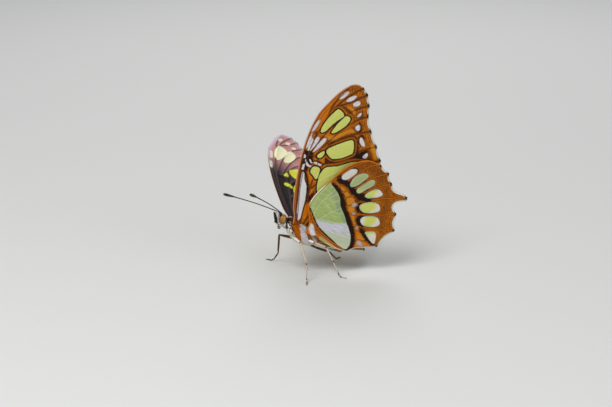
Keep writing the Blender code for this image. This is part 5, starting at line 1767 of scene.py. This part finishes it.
class BUTTERFLY_OT_fringe(bpy.types.Operator):
    """Lay the short fringe of scales along each outer margin, white in the bays"""
    bl_idname = "butterfly.fringe"
    bl_label = "Wing fringe"

    def execute(self, context):
        settings = context.scene.butterfly_wings
        draw = np.random.default_rng(FRINGE_SEED)
        material = coat_material("fringe_scales")
        for kind in WINGS:
            for side_name in SIDES:
                self.add_fringe(kind, side_name, settings, draw, material)
        return {"FINISHED"}

    def add_fringe(self, kind, side_name, settings, draw, material):
        """Scales side by side along the margin, a few at each place, pointing out over it."""
        stretches = WINGS[kind]["stretches"](FRINGE_STEP)
        outline = wing_outline(WINGS[kind]["stretches"](LINE_STEP))
        margin = np.vstack([line[:-1] for line in stretches["margin"]])
        along = unit_rows(np.gradient(margin, axis=0))
        outward = np.column_stack((along[:, 1], -along[:, 0]))
        inward = is_inside(margin + outward * 0.3, outline)
        outward[inward] *= -1
        spans = [slice(max(0, number - 4), number + 5) for number in range(len(outward))]
        outward = unit_rows(np.array([outward[span].mean(axis=0) for span in spans]))
        picks = np.repeat(np.arange(len(margin)), FRINGE_SCALES)
        count = len(picks)
        lean = draw.normal(0.0, 0.25, count)[:, None] * along[picks]
        start = margin[picks] - outward[picks] * FRINGE_ROOT
        end = start + outward[picks] + lean
        height = draw.uniform(-0.07, 0.07, count)
        roots = wing_surface(side_name, kind, start[:, 0], start[:, 1], height)
        tips = wing_surface(side_name, kind, end[:, 0], end[:, 1], height)
        over = wing_surface(side_name, kind, start[:, 0], start[:, 1], height + 1.0)
        bay = bay_share(margin, stretches)[picks][:, None]
        shades = np.array(settings.cream) * bay + np.array(settings.dark) * 1.6 * (1 - bay)
        shades = varied(shades, 0.8, 0.35, draw)
        lengths = (0.3 + 0.16 * draw.random(count)) * (0.75 + 0.25 * bay[:, 0]) * MM
        places = on_sheet(start, outline.min(axis=0), outline.max(axis=0), 2 * SHEET_EDGE)
        fringe = add_tufts(kind + "_fringe_" + side_name, roots, tips - roots, (over - roots) / MM, lengths,
                           SCALE_WIDTH * MM, places, shades, material, bend=0.0)
        finish_piece(fringe, "wings")


class BUTTERFLY_OT_stage(bpy.types.Operator):
    """Set the pale floor, the soft lights and the camera"""
    bl_idname = "butterfly.stage"
    bl_label = "Floor, lights and camera"

    def execute(self, context):
        settings = context.scene.butterfly_stage
        self.add_floor(settings)
        for name, (place, size) in LIGHTS.items():
            light = bpy.data.lights.new(name + "_light", "AREA")
            light.energy = getattr(settings, name + "_watts")
            light.size = size
            self.hold(light, place)
        world = bpy.data.worlds.new("soft_sky")
        world.use_nodes = True
        sky = world.node_tree.nodes["Background"]
        sky.inputs["Color"].default_value = (0.9, 0.93, 1.0, 1.0)
        sky.inputs["Strength"].default_value = 0.3
        context.scene.world = world
        context.scene.view_settings.view_transform = "Standard"
        camera = bpy.data.cameras.new("photo_camera")
        camera.lens = settings.lens
        camera.clip_start = 0.01
        context.scene.camera = self.hold(camera, CAMERA_AT)
        return {"FINISHED"}

    def hold(self, lamp_or_camera, place):
        """Set a light or the camera at its place, aimed at the butterfly."""
        holder = bpy.data.objects.new(lamp_or_camera.name, lamp_or_camera)
        bpy.context.scene.collection.objects.link(holder)
        holder.location = place
        holder.rotation_euler = (Vector(CAMERA_AIM) - Vector(place)).to_track_quat("-Z", "Y").to_euler()
        return holder

    def add_floor(self, settings):
        bpy.ops.object.select_all(action="DESELECT")
        bpy.ops.mesh.primitive_plane_add(size=4.0, location=(0.0, 0.0, 0.0))
        floor = bpy.context.view_layer.objects.active
        floor.name = "floor"
        graph = Graph("floor_paper")
        grain = graph.noise(graph.place(), 900.0, 3.0)
        shade = graph.tint(settings.floor, (0.3, 0.3, 0.3), grain, 0.06)
        graph.bump(grain, 0.05, 0.0001)
        floor.data.materials.append(graph.finish(shade, graph.between(grain, -2.0, 1.3)))


class BUTTERFLY_PT_panel(bpy.types.Panel):
    """The pieces of the butterfly, each with its button"""
    bl_idname = "BUTTERFLY_PT_panel"
    bl_label = "Malachite Butterfly"
    bl_space_type = "VIEW_3D"
    bl_region_type = "UI"
    bl_category = "Butterfly"

    def draw(self, context):
        for operator in OPERATORS:
            self.layout.operator(operator.bl_idname)


SETTINGS = {"butterfly_wings": WingSettings, "butterfly_body": BodySettings, "butterfly_limbs": LimbSettings,
            "butterfly_stage": StageSettings}
OPERATORS = (BUTTERFLY_OT_wings, BUTTERFLY_OT_fringe, BUTTERFLY_OT_body, BUTTERFLY_OT_eyes,
             BUTTERFLY_OT_feelers, BUTTERFLY_OT_mouthparts, BUTTERFLY_OT_legs, BUTTERFLY_OT_stage)
CLASSES = (*SETTINGS.values(), *OPERATORS, BUTTERFLY_PT_panel)


def register():
    for kind in CLASSES:
        bpy.utils.register_class(kind)
    for name, kind in SETTINGS.items():
        setattr(bpy.types.Scene, name, PointerProperty(type=kind))


def unregister():
    for name in SETTINGS:
        delattr(bpy.types.Scene, name)
    for kind in reversed(CLASSES):
        bpy.utils.unregister_class(kind)


def main():
    register()
    bpy.ops.butterfly.wings()
    bpy.ops.butterfly.fringe()
    bpy.ops.butterfly.body()
    bpy.ops.butterfly.eyes()
    bpy.ops.butterfly.feelers()
    bpy.ops.butterfly.mouthparts()
    bpy.ops.butterfly.legs()
    bpy.ops.butterfly.stage()


if __name__ == "__main__":
    main()
